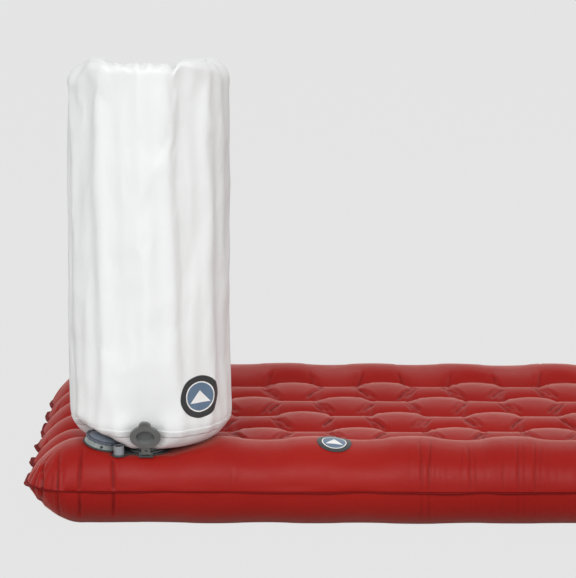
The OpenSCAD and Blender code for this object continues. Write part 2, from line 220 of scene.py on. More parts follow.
def closed_sheet(name, upper, lower, mat, reshade):
    """A thin piece between two grids of points, closed all round."""
    ni, nj = upper.shape[:2]
    layer = ni * nj
    faces = list(grid_faces(ni, nj)) + list(grid_faces(ni, nj, flip=True) + layer)
    rim = [i * nj for i in range(ni)] + [(ni - 1) * nj + j for j in range(1, nj)]
    rim += [i * nj + nj - 1 for i in range(ni - 2, -1, -1)] + list(range(nj - 2, 0, -1))
    for a, b in zip(rim, rim[1:] + rim[:1]):
        faces.append((b, a, a + layer, b + layer))
    verts = np.vstack([upper.reshape(-1, 3), lower.reshape(-1, 3)])
    ob = make(name, verts, faces, mat)
    orient(ob, reshade)
    return ob


def read_points(mesh):
    """The mesh's points in metres."""
    co = np.zeros(len(mesh.vertices) * 3)
    mesh.vertices.foreach_get("co", co)
    return co.reshape(-1, 3)


def cut_holes(ob, holes):
    """Removes the faces over each round hole (x, y, radius, lowest z), rounds its rim."""
    bm = bmesh.new()
    bm.from_mesh(ob.data)
    for (cx, cy, r, z_min) in holes:
        dead = []
        for f in bm.faces:
            mid = f.calc_center_median()
            if math.hypot(mid.x / MM - cx, mid.y / MM - cy) < r and mid.z / MM > z_min:
                dead.append(f)
        rim = {v for f in dead for v in f.verts}
        bmesh.ops.delete(bm, geom=dead, context="FACES")
        for v in rim:
            if v.is_valid and v.link_faces:
                dx, dy = v.co.x / MM - cx, v.co.y / MM - cy
                away = math.hypot(dx, dy)
                if away > 1e-6:
                    v.co.x = (cx + dx / away * r) * MM
                    v.co.y = (cy + dy / away * r) * MM
    bmesh.ops.remove_doubles(bm, verts=bm.verts, dist=0.00005)
    bmesh.ops.delete(bm, geom=[v for v in bm.verts if not v.link_faces], context="VERTS")
    bmesh.ops.recalc_face_normals(bm, faces=bm.faces)
    bm.to_mesh(ob.data)
    bm.free()
    ob.data.update()
    set_smooth(ob.data)


def cloth(ob, pins, pressure, frames, rest_scale, cap, bend=0.6, z_range=(-np.inf, np.inf)):
    """Runs the cloth simulation on ob and keeps its result as the mesh.

    pins: weight of every point; cap: the furthest a point may move (m);
    rest_scale: size of the relaxed cloth along x, y, z; z_range: lowest and highest z (m).
    """
    start = read_points(ob.data)
    group = ob.vertex_groups.new(name="pin")
    for w in sorted(set(np.round(pins, 2))):
        if w > 0:
            held = np.nonzero(np.abs(pins - w) < 0.006)[0]
            group.add([int(i) for i in held], float(w), "REPLACE")
    ob.shape_key_add(name="Basis")
    key = ob.shape_key_add(name="rest")
    centre = start.mean(0)
    rest = (start - centre) * np.array(rest_scale) + centre
    key.data.foreach_set("co", rest.ravel())
    key.value = 0.0
    modifier = ob.modifiers.new("Cloth", "CLOTH")
    tension = 18.0
    settings = dict(
        quality=5, mass=0.25, tension_stiffness=tension, compression_stiffness=tension,
        shear_stiffness=tension * 0.4, bending_stiffness=bend, tension_damping=12,
        compression_damping=12, shear_damping=8, bending_damping=1.0, air_damping=4.0,
        vertex_group_mass="pin", pin_stiffness=4.0, use_pressure=True,
        uniform_pressure_force=pressure, rest_shape_key=key)
    for name, value in settings.items():
        setattr(modifier.settings, name, value)
    modifier.settings.effector_weights.gravity = 0.0
    modifier.collision_settings.use_collision = False
    modifier.collision_settings.use_self_collision = False
    modifier.point_cache.frame_start = 1
    modifier.point_cache.frame_end = frames
    for f in range(1, frames + 1):
        bpy.context.scene.frame_set(f)
    depsgraph = bpy.context.evaluated_depsgraph_get()
    moved = read_points(ob.evaluated_get(depsgraph).data)
    # a simulation that blows up leaves the cloth as it started
    if not np.isfinite(moved).all():
        moved = start.copy()
    shift = moved - start
    dist = np.linalg.norm(shift, axis=1)
    moved = start + shift * np.where(dist > cap, cap / np.maximum(dist, 1e-9), 1.0)[:, None]
    moved[pins > 0.97] = start[pins > 0.97]
    moved[:, 2] = np.clip(moved[:, 2], *z_range)
    ob.modifiers.remove(modifier)
    ob.shape_key_clear()
    ob.vertex_groups.clear()
    ob.data.vertices.foreach_set("co", moved.ravel())
    ob.data.update()
    bpy.context.scene.frame_set(1)


# ------------------------------------------------------------------ shader helpers
def rgba(color):
    return (*color, 1)


def set_inputs(shader, **values):
    """Sets a node's inputs by name, with underscores for spaces."""
    for name, value in values.items():
        shader.inputs[name.replace("_", " ")].default_value = value


def new_mat(name):
    mat = bpy.data.materials.new(name)
    mat.use_nodes = True
    nt = mat.node_tree
    for n in list(nt.nodes):
        nt.nodes.remove(n)
    out = nt.nodes.new("ShaderNodeOutputMaterial")
    bsdf = nt.nodes.new("ShaderNodeBsdfPrincipled")
    nt.links.new(bsdf.outputs[0], out.inputs[0])
    return mat, nt, bsdf


def feed(nt, socket, value):
    """Links an output to socket, or sets its value; None leaves the default."""
    if isinstance(value, (int, float, tuple)):
        socket.default_value = value
    elif value is not None:
        nt.links.new(value, socket)


def calc(nt, operation, first, second=None):
    n = nt.nodes.new("ShaderNodeMath")
    n.operation = operation
    feed(nt, n.inputs[0], first)
    feed(nt, n.inputs[1], second)
    return n.outputs[0]


def noise(nt, coords, **inputs):
    n = nt.nodes.new("ShaderNodeTexNoise")
    set_inputs(n, **inputs)
    nt.links.new(coords, n.inputs["Vector"])
    return n.outputs[0]


def ramp(nt, source, low, high, low_at, high_at):
    n = nt.nodes.new("ShaderNodeValToRGB")
    for element, color, at in zip(n.color_ramp.elements, (low, high), (low_at, high_at)):
        element.position = at
        element.color = rgba(color)
    nt.links.new(source, n.inputs[0])
    return n


def map_range(nt, source, from_range, to_range):
    n = nt.nodes.new("ShaderNodeMapRange")
    for i, value in enumerate((*from_range, *to_range)):
        n.inputs[i + 1].default_value = value
    nt.links.new(source, n.inputs[0])
    return n.outputs[0]


def mix_color(nt, factor, first, second):
    n = nt.nodes.new("ShaderNodeMix")
    n.data_type = "RGBA"
    nt.links.new(factor, n.inputs[0])
    feed(nt, n.inputs[6], first)
    feed(nt, n.inputs[7], second)
    return n.outputs[2]


def bump(nt, height, strength, distance, normal=None):
    n = nt.nodes.new("ShaderNodeBump")
    set_inputs(n, Strength=strength, Distance=distance)
    nt.links.new(height, n.inputs["Height"])
    feed(nt, n.inputs["Normal"], normal)
    return n.outputs[0]


# ------------------------------------------------------------------ fabric and plastic looks
def weave(nt, bsdf, pitch, weave_h, wrinkle_h):
    """Fine plain weave in object space plus soft, slightly stretched wrinkling, as bump."""
    coords = nt.nodes.new("ShaderNodeTexCoord").outputs["Object"]
    split = nt.nodes.new("ShaderNodeSeparateXYZ")
    nt.links.new(coords, split.inputs[0])
    waves_xyz = []
    for axis in range(3):
        turns = calc(nt, "MULTIPLY", split.outputs[axis], 2 * math.pi / pitch)
        waves_xyz.append(calc(nt, "SINE", turns))
    across_y = calc(nt, "MULTIPLY", waves_xyz[0], waves_xyz[1])
    across_z = calc(nt, "MULTIPLY", waves_xyz[0], waves_xyz[2])
    threads = calc(nt, "ADD", across_y, across_z)
    thread_bump = bump(nt, threads, strength=weave_h, distance=0.0002)
    stretch = nt.nodes.new("ShaderNodeMapping")
    stretch.inputs["Scale"].default_value = (1.0, 1.6, 0.7)
    nt.links.new(coords, stretch.inputs[0])
    wrinkles = noise(nt, stretch.outputs[0], Scale=45, Detail=5.0, Roughness=0.55,
                     Distortion=0.4)
    normal = bump(nt, wrinkles, strength=wrinkle_h, distance=0.0016, normal=thread_bump)
    nt.links.new(normal, bsdf.inputs["Normal"])
    return coords, wrinkles, threads


def fabric(name, dark, light, rough=0.45, sheen=0.25, tint=(1, 1, 1), wrinkle=0.35,
           weave_h=0.2, pitch=0.0011, spec=0.5, var_scale=5.0, crease=0.0):
    """Woven cloth; pitch is the thread pitch in metres, crease the strength of the painted shade
    that darkens the folds.
    """
    mat, nt, bsdf = new_mat(name)
    coords, wrinkles, threads = weave(nt, bsdf, pitch, weave_h, wrinkle)
    patches = noise(nt, coords, Scale=var_scale, Detail=3.0, Roughness=0.5)
    color = ramp(nt, patches, dark, light, 0.35, 0.68).outputs[0]
    # painted highlight: a little lighter where the weave stands up, as if the thread tops catch
    # the light
    raised = map_range(nt, threads, (-2, 2), (0, 0.12))
    color = mix_color(nt, raised, color, rgba([min(1, c * 1.5 + 0.01) for c in light]))
    # painted shade: darker in the creases, where the folds would be in shadow
    geometry = nt.nodes.new("ShaderNodeNewGeometry")
    hollow = map_range(nt, geometry.outputs["Pointiness"], (0.42, 0.50), (crease, 0.0))
    color = mix_color(nt, hollow, color, rgba([c * 0.45 for c in dark]))
    nt.links.new(color, bsdf.inputs["Base Color"])
    roughness = map_range(nt, wrinkles, (0.3, 0.7), (rough - 0.06, rough + 0.08))
    nt.links.new(roughness, bsdf.inputs["Roughness"])
    set_inputs(bsdf, Sheen_Weight=sheen, Sheen_Roughness=0.4, Sheen_Tint=rgba(tint),
               Coat_Weight=0.0, Coat_Roughness=0.35, Specular_IOR_Level=spec)
    return mat


def plastic(name, color, rough=0.4, grain=0.15, scale=220, var=0.12, metal=0.0, trans=0.0,
            coat=0.0):
    """Moulded part; grain is the bump's strength, var the spread of the color."""
    mat, nt, bsdf = new_mat(name)
    coords = nt.nodes.new("ShaderNodeTexCoord").outputs["Object"]
    fine = noise(nt, coords, Scale=scale, Detail=4.0, Roughness=0.6)
    patches = noise(nt, coords, Scale=35.0, Detail=3.0)
    low, high = [c * (1 - var) for c in color], [min(1, c * (1 + var)) for c in color]
    nt.links.new(ramp(nt, patches, low, high, 0.3, 0.7).outputs[0], bsdf.inputs["Base Color"])
    roughness = map_range(nt, fine, (0.3, 0.7), (max(0.02, rough - 0.07), rough + 0.09))
    nt.links.new(roughness, bsdf.inputs["Roughness"])
    nt.links.new(bump(nt, fine, strength=grain, distance=0.0003), bsdf.inputs["Normal"])
    set_inputs(bsdf, Metallic=metal, Transmission_Weight=trans, IOR=1.46, Coat_Weight=coat)
    return mat


# crease= sets how strongly painted shade darkens the folds of each fabric
LOOKS = {
    "pad": fabric("pad_fabric_look", dark=(0.272, 0.0064, 0.0044),
                  light=(0.316, 0.0096, 0.0064), rough=0.42, sheen=0.38,
                  tint=(1.0, 0.46, 0.37), wrinkle=0.16, weave_h=0.08, spec=0.15, crease=0.9),
    "weld": fabric("pad_weld_look", dark=(0.150, 0.005, 0.005), light=(0.19, 0.007, 0.007),
                   rough=0.6, spec=0.08, sheen=0.0, tint=(1.0, 0.6, 0.55), wrinkle=0.5,
                   weave_h=0.1),
    "web": fabric("baffle_web_look", dark=(0.42, 0.05, 0.04), light=(0.5, 0.07, 0.055),
                  rough=0.6, sheen=0.2, wrinkle=0.4),
    "batt": fabric("batting_look", dark=(0.74, 0.73, 0.69), light=(0.86, 0.85, 0.81),
                   rough=0.95, sheen=0.6, wrinkle=1.0, weave_h=0.0, var_scale=60),
    "film": plastic("reflective_film_look", (0.82, 0.83, 0.85), rough=0.16, grain=0.6,
                    scale=90, metal=1.0, var=0.03),
    "sack": fabric("sack_fabric_look", dark=(0.745, 0.758, 0.752), light=(0.785, 0.795, 0.79),
                   rough=0.50, sheen=0.08, wrinkle=0.2, weave_h=0.1, spec=0.4, var_scale=3.0,
                   crease=0.06),
    "tape": fabric("sack_tape_look", dark=(0.70, 0.715, 0.71), light=(0.77, 0.78, 0.775),
                   rough=0.5, sheen=0.2, wrinkle=0.5, weave_h=0.35, crease=0.1),
    "webbing": fabric("webbing_look", dark=(0.016, 0.017, 0.018), light=(0.03, 0.031, 0.033),
                      rough=0.75, sheen=0.5, tint=(0.6, 0.6, 0.65), wrinkle=0.6, weave_h=0.9,
                      pitch=0.0022),
    "rubber": plastic("cap_rubber_look", (0.150, 0.160, 0.157), rough=0.55, grain=0.25),
    "base": plastic("valve_rubber_look", (0.05, 0.056, 0.056), rough=0.5, grain=0.3),
    "grey": plastic("valve_grey_look", (0.16, 0.17, 0.168), rough=0.42, grain=0.15),
    "skirt": plastic("deflate_seat_look", (0.33, 0.38, 0.37), rough=0.3, grain=0.12,
                     trans=0.35, coat=0.3),
    "ring": plastic("cap_ring_look", (0.13, 0.155, 0.19), rough=0.22, grain=0.1, coat=0.4,
                    trans=0.2),
    # bluish lens tone, partly its own colour and partly lightened as a painted reflection of
    # bright surroundings
    "lens": plastic("lens_tint_and_painted_reflection_look", (0.31, 0.36, 0.44), rough=0.16, grain=0.06, trans=0.25,
                    coat=1.0),
    "clear": plastic("clear_plastic_look", (0.40, 0.43, 0.45), rough=0.10, grain=0.05,
                     trans=0.45, coat=1.0),
    "silicone": plastic("clear_silicone_look", (0.62, 0.68, 0.74), rough=0.3, grain=0.2,
                        trans=0.5),
    "black": plastic("black_rubber_look", (0.012, 0.012, 0.013), rough=0.5, grain=0.3),
    "steel": plastic("steel_look", (0.6, 0.6, 0.6), rough=0.25, metal=1.0, grain=0.1,
                     var=0.04),
    "buckle": plastic("buckle_look", (0.018, 0.018, 0.02), rough=0.38, grain=0.3),
    "stiff": plastic("stiffener_look", (0.09, 0.09, 0.095), rough=0.5, grain=0.2),
}

# CAD pieces that keep their shape and only get a material
CAD_LOOKS = {
    "inflate_base": "base", "inflate_seat": "grey", "check_flap": "silicone",
    "inflate_cap": "rubber", "inflate_hinge_pin": "steel", "bleed_housing": "clear",
    "bleed_button": "black", "bleed_spring": "steel", "bleed_seal": "black",
    "deflate_base": "base", "deflate_seat": "skirt", "deflate_gasket": "black",
    "deflate_cap": "ring", "deflate_lens": "lens", "nozzle_spigot": "grey",
    "nozzle_lock_ring": "grey", "nozzle_o_ring": "black", "collar_stiffener": "stiff",
    "buckle_female": "buckle", "buckle_male": "buckle",
}
for node_name, look in CAD_LOOKS.items():
    ob = frame["nodes"][node_name]
    if not ob.data.materials:
        ob.data.materials.append(LOOKS[look])
    for material_slot in ob.material_slots:
        material_slot.material = LOOKS[look]

# ------------------------------------------------------------------ the pad's form
# Valley v is the quilting line between tubes v and v + 1, where their circles cross.
VALLEY_OFF = [(TUBE_PITCH ** 2 + TUBE_R[v] ** 2 - TUBE_R[v + 1] ** 2) / (2 * TUBE_PITCH)
              for v in range(5)]             # distance from tube v's axis
VALLEY_H = [math.sqrt(TUBE_R[v] ** 2 - VALLEY_OFF[v] ** 2) for v in range(5)]
VALLEY_Y = [TUBE_Y[v] + VALLEY_OFF[v] for v in range(5)]
SWING = 10.5                                 # sideways swing of the weld lines in plan
BULGE_X = 3.0                                # a bulge's centre in the first row
BULGE_HALF = 36.0
BULGE_RISE = 2.6
TAPER = 1.26                                 # how far the rounded ends are drawn out
PLAIN_END = 92.0                             # no quilting creases this close to the tips
STEP = 4.4                                   # mesh step along the pad
SLACK = 1.6                                  # how much lower the top skin is than full


def end_fade(x):
    return 1 - sstep(TIP_X - 105, TIP_X - 60, np.abs(x))


def swing(v, x):
    """Sideways offset of weld line v: round arches joined by short slants."""
    c = np.cos(2 * math.pi * (x - QUILT_SHIFT * (v - 1)) / QUILT_PITCH)
    return SWING * end_fade(x) * (np.sign(c) * np.abs(c) ** 0.62)


# Mesh columns across the pad: the tube, and t from -1 (near edge) over 0 (crest) to 1
ARC_STEPS = [(24, 15)] + [(13, 13)] * 4 + [(15, 24)]
columns = []
for tube, (near_steps, far_steps) in enumerate(ARC_STEPS):
    ts = list(np.linspace(-1, 0, near_steps + 1))[(0 if tube == 0 else 1):]
    ts += list(np.linspace(0, 1, far_steps + 1))[1:]
    columns += [(tube, t) for t in ts]
COLS = len(columns)
COL_TUBE = [c[0] for c in columns]
COL_T = [c[1] for c in columns]
VALLEY_COLS = [j for j in range(COLS) if COL_T[j] == 1.0 and COL_TUBE[j] < 5]


def crest_height(tube, x, slack):
    if 0 < tube < 5:
        phase = (x - BULGE_X - QUILT_SHIFT * (tube - 1)) / QUILT_PITCH
        off = np.abs((phase + 0.5) % 1.0 - 0.5) * QUILT_PITCH
        wave = (2 * np.clip(1 - (off / BULGE_HALF) ** 2, 0, 1) ** 0.85 - 1
                - 0.30 * np.exp(-((off - BULGE_HALF) / 4.5) ** 2))
        return TUBE_R[tube] - slack + BULGE_RISE * wave * end_fade(x)
    wave = (swing(0, x) if tube == 0 else swing(4, x + 12)) / SWING
    rise = (1.9 if tube == 0 else 1.3) * (1.0 if slack > 0 else 0.25)
    return TUBE_R[tube] - slack * 0.7 + rise * wave * end_fade(x)


def sections(all_x, slack):
    """y and height over the weld level for every column at the lengths all_x (ni, COLS)."""
    all_y, all_z = np.zeros_like(all_x), np.zeros_like(all_x)
    for j, (tube, t) in enumerate(columns):
        x = all_x[:, j]
        crest = crest_height(tube, x, slack)
        if (t < 0 and tube == 0) or (t >= 0 and tube == 5):
            # the outer quarter of a rail, a little lower at its crest when slack
            all_y[:, j] = TUBE_Y[tube] + RAIL_R * np.sin(t * math.pi / 2)
            all_z[:, j] = crest * np.cos(t * math.pi / 2)
            continue
        if t < 0:
            width = (TUBE_PITCH - VALLEY_OFF[tube - 1]) - swing(tube - 1, x)
            foot = VALLEY_H[tube - 1]
        else:
            width = VALLEY_OFF[tube] + swing(tube, x)
            foot = VALLEY_H[tube]
        radius = (width ** 2 + (crest - foot) ** 2) / (2 * (crest - foot))
        sine = width / radius
        angle = np.where(sine >= 0.9999, math.pi / 2, np.arcsin(np.clip(sine, -1, 1)))
        all_y[:, j] = TUBE_Y[tube] + radius * np.sin(t * angle)
        all_z[:, j] = (crest - radius) + radius * np.cos(t * angle)
    return all_y, all_z


def column_ends(slack):
    """Where each column turns into its rounded end, and how far the end reaches."""
    height = sections(np.full((1, COLS), RAIL_X), slack)[1][0]
    end_x = np.zeros(COLS)
    for j, (tube, t) in enumerate(columns):
        centre = TIP_X - TUBE_R[tube]
        v = tube if t > 0 else tube - 1
        end_x[j] = centre + height[j]
        if 0 <= v <= 4:
            # neighbours meet halfway between their own ends
            low = VALLEY_H[v]
            shared = 0.5 * ((TIP_X - TUBE_R[v] + low) + (TIP_X - TUBE_R[v + 1] + low))
            end_x[j] += (shared - (centre + low)) * sstep(0, 1, abs(t))
    return end_x - height, height


def pad_surface(slack, n_end=14):
    start, reach = column_ends(slack)
    start = start - (TAPER - 1) * reach
    reach = reach * TAPER
    n_main = int(round(2 * RAIL_X / STEP)) + 1
    x_main = np.linspace(-1, 1, n_main)[:, None] * start[None, :]
    y_main, z_main = sections(x_main, slack)
    sine = np.sin(np.linspace(0, math.pi / 2, n_end + 1)[1:])[:, None]
    x_end = start[None, :] + reach[None, :] * sine
    drop = (1 - sine ** 1.75) ** 0.78
    x = np.vstack([-x_end[::-1], x_main, x_end])
    y = np.vstack([np.repeat(y_main[:1], n_end, 0), y_main, np.repeat(y_main[-1:], n_end, 0)])
    z = np.vstack([(z_main[:1] * drop)[::-1], z_main, z_main[-1:] * drop])
    return np.stack([x, y, z], 2)


# ------------------------------------------------------------------ pinch creases
def crease(at, toward, length, width, depth, start=0.0):
    """A groove in the skin from the point at, running along toward (x, y).

    It fades out at length, and fades in at the distance start from at.
    """
    return (*at, *toward, length, width, depth, start)


def groove_depth(points, creases):
    depth_map = np.zeros(points.shape[:2])
    X, Y, Z = points[..., 0], points[..., 1], points[..., 2]
    for x, y, z, dx, dy, length, width, depth, start in creases:
        reach = length + 2 * width
        near = (np.abs(X - x) < reach) & (np.abs(Y - y) < reach)
        if not near.any():
            continue
        rx, ry, rz = X[near] - x, Y[near] - y, Z[near] - z
        size = math.hypot(dx, dy)
        ux, uy = dx / size, dy / size
        along = rx * ux + ry * uy
        across = -rx * uy + ry * ux
        dist = np.sqrt(along ** 2 + rz ** 2)
        # a groove with a low lip on either side
        lips = sum(np.exp(-0.5 * ((across + s * 2.3 * width) / (width * 1.2)) ** 2)
                   for s in (-1, 1))
        shape = np.exp(-0.5 * (across / width) ** 2) - 0.24 * lips
        if start == 0:
            fade = (1 - sstep(0.55 * length, length, dist)) * sstep(-3, 3, along)
        else:
            fade = ((1 - sstep(length - 12, length, dist))
                    * (sstep(start, start + 11, dist) * (along > 0)))
        depth_map[near] += depth * shape * fade
    return depth_map


# Creases at each end of a bulge: distance from its centre, depth,
# chance of being left out at the left end, and at the right end
BULGE_CREASES = [(28.5, 2.2, 0.12, 0.35), (34.5, 3.4, 0.0, 0.0), (41.0, 2.4, 0.25, 0.6)]


def quilt_creases(seed):
    """Creases down the slopes of the bulges, leaning in to the bulge."""
    rn = np.random.RandomState(seed)
    out = []

    def valley_point(v, x, side):
        return (x, VALLEY_Y[v] + float(swing(v, x)) - side * 1.5, VALLEY_H[v])

    for tube in range(1, 5):
        for n in range(-9, 10):
            centre = BULGE_X + QUILT_SHIFT * (tube - 1) + n * QUILT_PITCH
            for s in (-1, 1):                # left end, right end
                for side in (-1, 1):         # near slope, far slope
                    v = tube - 1 if side < 0 else tube
                    for off, depth, skip_left, skip_right in BULGE_CREASES:
                        if rn.rand() < (skip_left if s < 0 else skip_right):
                            continue
                        lean = rn.uniform(0.50, 0.66)
                        x = centre + s * (off - 37.0 * lean + rn.uniform(-1.2, 1.2))
                        if abs(x) > TIP_X - PLAIN_END:
                            continue
                        out.append(crease(valley_point(v, x, side), (s * lean, -side * 1.0),
                                          length=rn.uniform(52, 58),
                                          width=rn.uniform(1.25, 1.65),
                                          depth=depth * rn.uniform(0.75, 1.15),
                                          start=rn.uniform(15, 22)))
    # inner slopes of the two rails
    for v, side, phase in ((0, 1, 0), (4, -1, QUILT_PITCH / 2)):
        for n in range(-9, 10):
            centre = QUILT_SHIFT * (v - 1) + n * QUILT_PITCH + phase
            for s in (-1, 1):
                for off, depth in ((22, 1.2), (29, 1.8)):
                    x = centre + s * (off + rn.uniform(-2, 2))
                    if abs(x) > TIP_X - PLAIN_END:
                        continue
                    out.append(crease(valley_point(v, x, side),
                                      (s * rn.uniform(0.15, 0.4), -side * 1.0),
                                      length=rn.uniform(26, 40),
                                      width=rn.uniform(1.5, 2.1),
                                      depth=depth * rn.uniform(0.6, 1.1)))
    return out


# Pleats on the near rail: x, length, width, depth
NEAR_PLEATS = [
    (-889, 62, 1.5, 3.3), (-869, 62, 1.5, 3.3), (-841, 62, 1.5, 3.3), (-799, 62, 1.5, 3.3),
    (-797, 30, 1.4, 1.0), (-652, 34, 1.5, 0.8), (-646, 22, 1.3, 0.6), (-417, 92, 1.5, 1.5),
    (-408, 96, 1.5, 1.7), (-356, 84, 1.4, 1.0), (-349, 84, 1.3, 0.9), (-316, 60, 1.3, 0.8),
    (-297, 88, 1.5, 1.5), (-290, 80, 1.3, 1.1), (-276, 90, 1.4, 1.3), (-270, 84, 1.3, 0.9),
]


def rail_pleats(seed, upper):
    """Pleats running in over both rails from the perimeter weld."""
    rn = np.random.RandomState(seed)
    near = list(NEAR_PLEATS)
    for x in np.arange(-430, -225, 7.5):     # a run of fine pleats
        near.append((x + rn.uniform(-3, 3), rn.uniform(35, 90), rn.uniform(1.1, 1.5),
                     rn.uniform(0.15, 0.5)))
    x = -225.0
    while x < 880:                           # scattered pleats, some of them double
        x += rn.uniform(14, 80)
        depth = rn.uniform(0.5, 1.5)
        near.append((x, rn.uniform(40, 92), rn.uniform(1.3, 1.8), depth))
        if rn.rand() < 0.5:
            near.append((x + rn.uniform(6, 9), rn.uniform(40, 80), 1.3, depth * 0.7))
    far = []
    x = -890.0
    while x < 890:
        x += rn.uniform(18, 80)
        far.append((x, rn.uniform(35, 88), rn.uniform(1.3, 1.9), rn.uniform(0.5, 1.6)))
    out = []
    for side, y, pleats in ((-1, -RAIL_R, near), (1, FAR_Y + RAIL_R, far)):
        for x, length, width, depth in pleats:
            if not upper:
                length = min(length, 66) * rn.uniform(0.6, 1.0)
                depth = depth * (0.6 if depth < 2 else 1.0)
            out.append(crease((x, y, 0), (rn.uniform(-0.12, 0.12), -side * 1.0),
                              length, width, depth))
    return out


def end_pleats():
    """Pleats running in from the rounded ends, with extra ones at the four corners."""
    rn = np.random.RandomState(23)
    out = []
    for s in (-1, 1):
        for tube, r in enumerate(TUBE_R):
            centre_x = s * (TIP_X - r)
            for a in np.linspace(-1.25, 1.25, 6) + rn.uniform(-0.12, 0.12, 6):
                if (tube == 0 and a > 0.9) or (tube == 5 and a < -0.9):
                    continue
                if 0 < tube < 5 and abs(a) > 0.95:
                    continue
                at = (centre_x + s * r * math.cos(a), TUBE_Y[tube] + r * math.sin(a), 0)
                toward = (-s * math.cos(a), -math.sin(a) + rn.uniform(-0.15, 0.15))
                out.append(crease(at, toward, length=rn.uniform(20, 46),
                                  width=rn.uniform(1.4, 2.0), depth=rn.uniform(0.7, 1.5)))
        for tube, side in ((0, -1), (5, 1)):
            for a in np.linspace(0.35, 1.45, 5):
                at = (s * RAIL_X + s * RAIL_R * math.cos(a),
                      TUBE_Y[tube] + side * RAIL_R * math.sin(a), 0)
                toward = (-s * math.cos(a), -side * math.sin(a))
                out.append(crease(at, toward, length=rn.uniform(30, 60),
                                  width=rn.uniform(1.4, 2.0), depth=rn.uniform(0.8, 1.5)))
    return out


# ------------------------------------------------------------------ the pad's two skins
def seat_limit(X, Y):
    """Highest z of the top skin under the two valves and the sack, over the weld level."""
    # the inflation valve's flat seat, rising steeply to the left and gently to the right
    xr = X - HINGE_X
    inflate = np.where(xr < -36, SEAT_Z + (-36 - xr),
                       np.where(xr > 32, SEAT_Z + (xr - 32) * math.tan(math.radians(14)),
                                SEAT_Z))
    inflate = np.where(Y < 46, inflate, inflate + (Y - 46) * 1.0)
    inflate = np.where(np.hypot(X - BLEED[0], Y - BLEED[1]) < 11.0, SEAT_Z, inflate)
    # the deflation valve's tilted plane
    tilt = math.radians(5)
    axis_x = np.cross(np.array([0, math.cos(tilt), math.sin(tilt)]), DEFLATE_AXIS)
    axis_x = axis_x / np.linalg.norm(axis_x)
    axis_y = np.cross(DEFLATE_AXIS, axis_x)
    dx, dy = X - DEFLATE_AT[0], Y - DEFLATE_AT[1]
    plane = DEFLATE_AT[2] - (DEFLATE_AXIS[0] * dx + DEFLATE_AXIS[1] * dy) / DEFLATE_AXIS[2]
    dz = plane - DEFLATE_AT[2]
    local_x = dx * axis_x[0] + dy * axis_x[1] + dz * axis_x[2]
    local_y = dx * axis_y[0] + dy * axis_y[1] + dz * axis_y[2]
    outside = np.maximum(np.abs(local_x + 2) - 29, np.abs(local_y) - 40)
    plane = np.where(local_x > 25.5, 1e3, plane + np.maximum(outside, 0) * 0.8)
    # the sack's flat base and rounded lower edge, with 1.2 of room
    r = np.hypot(X - SACK_X, Y - SACK_Y)
    arc = np.sqrt(np.maximum((BASE_ROUND + 1.2) ** 2 - (r - FLAT_R) ** 2, 0))
    sack = np.where(r < FLAT_R, SACK_Z - 1.2, SACK_Z + BASE_ROUND - arc)
    sack = np.where(r > FLAT_R + 41, 1e3, sack)
    return np.minimum(np.minimum(inflate, plane), sack) - WELD_Z


def edge_distance(count):
    return np.minimum(np.arange(count), np.arange(count)[::-1])


top_form = pad_surface(SLACK)
ROWS = top_form.shape[0]
form_normals = facing(grid_normals(top_form), 2, 1)
unevenness = blur(rng.normal(0, 1, top_form.shape[:2]), 5.0)
unevenness *= 0.7 / unevenness.std()
skin_weight = np.clip(np.minimum(edge_distance(COLS)[None, :] / 2.0,
                                 edge_distance(ROWS)[:, None] / 1.5), 0, 1)
valley_weight = np.ones(COLS)
for j in VALLEY_COLS:
    valley_weight[j] = 0.25
    valley_weight[[j - 1, j + 1]] = 0.8


def uneven(form, amount):
    offset = (unevenness * amount) * skin_weight * valley_weight[None, :]
    return form + form_normals * offset[..., None]


top_skin = uneven(top_form, 0.45)
limit = seat_limit(top_skin[..., 0], top_skin[..., 1])
before = top_skin[..., 2].copy()
pressed = np.minimum(smooth_min(before, limit, 5.0), limit - 0.35)
pressed = np.where(before > 1e-6, np.maximum(pressed, np.minimum(before, 1.0)), before)
dent = before - pressed
top_skin[..., 2] = pressed + WELD_Z
bottom_skin = uneven(pad_surface(0.0), 0.4)
bottom_skin[..., 2] = -np.minimum(bottom_skin[..., 2], WELD_Z - 0.3) + WELD_Z

# a hair of room between the two skins at the weld
WELD_GAP = 0.05
top_skin[..., 2] = np.maximum(top_skin[..., 2], WELD_Z + WELD_GAP)
bottom_skin[..., 2] = np.minimum(bottom_skin[..., 2], WELD_Z - WELD_GAP)
top = make("pad_top_fabric", top_skin.reshape(-1, 3), grid_faces(ROWS, COLS), LOOKS["pad"])
bottom = make("pad_bottom_fabric", bottom_skin.reshape(-1, 3),
              grid_faces(ROWS, COLS, flip=True), LOOKS["pad"])

pins = np.zeros((ROWS, COLS))
pins[:, [0, -1] + VALLEY_COLS] = 1
pins[[0, -1]] = 1
top_pins = np.maximum(pins, np.where(dent > 1.0, 1.0, 0.0))
SKIN_CLOTH = dict(pressure=1.6, frames=16, rest_scale=(1.007, 1.0, 1.0), cap=0.0035)
cloth(top, top_pins.ravel(), z_range=((WELD_Z + WELD_GAP) * MM, np.inf), **SKIN_CLOTH)
cloth(bottom, pins.ravel(), z_range=(0.0003, (WELD_Z - WELD_GAP) * MM), **SKIN_CLOTH)


def refine_i(A):
    """Doubles the points along the pad with a four-point curve."""
    G = np.concatenate([A[:1] * 2 - A[1:2], A, A[-1:] * 2 - A[-2:-1]], 0)
    out = np.zeros((2 * A.shape[0] - 1,) + A.shape[1:])
    out[0::2] = A
    out[1::2] = (-G[:-3] + 9 * G[1:-2] + 9 * G[2:-1] - G[3:]) / 16
    return out


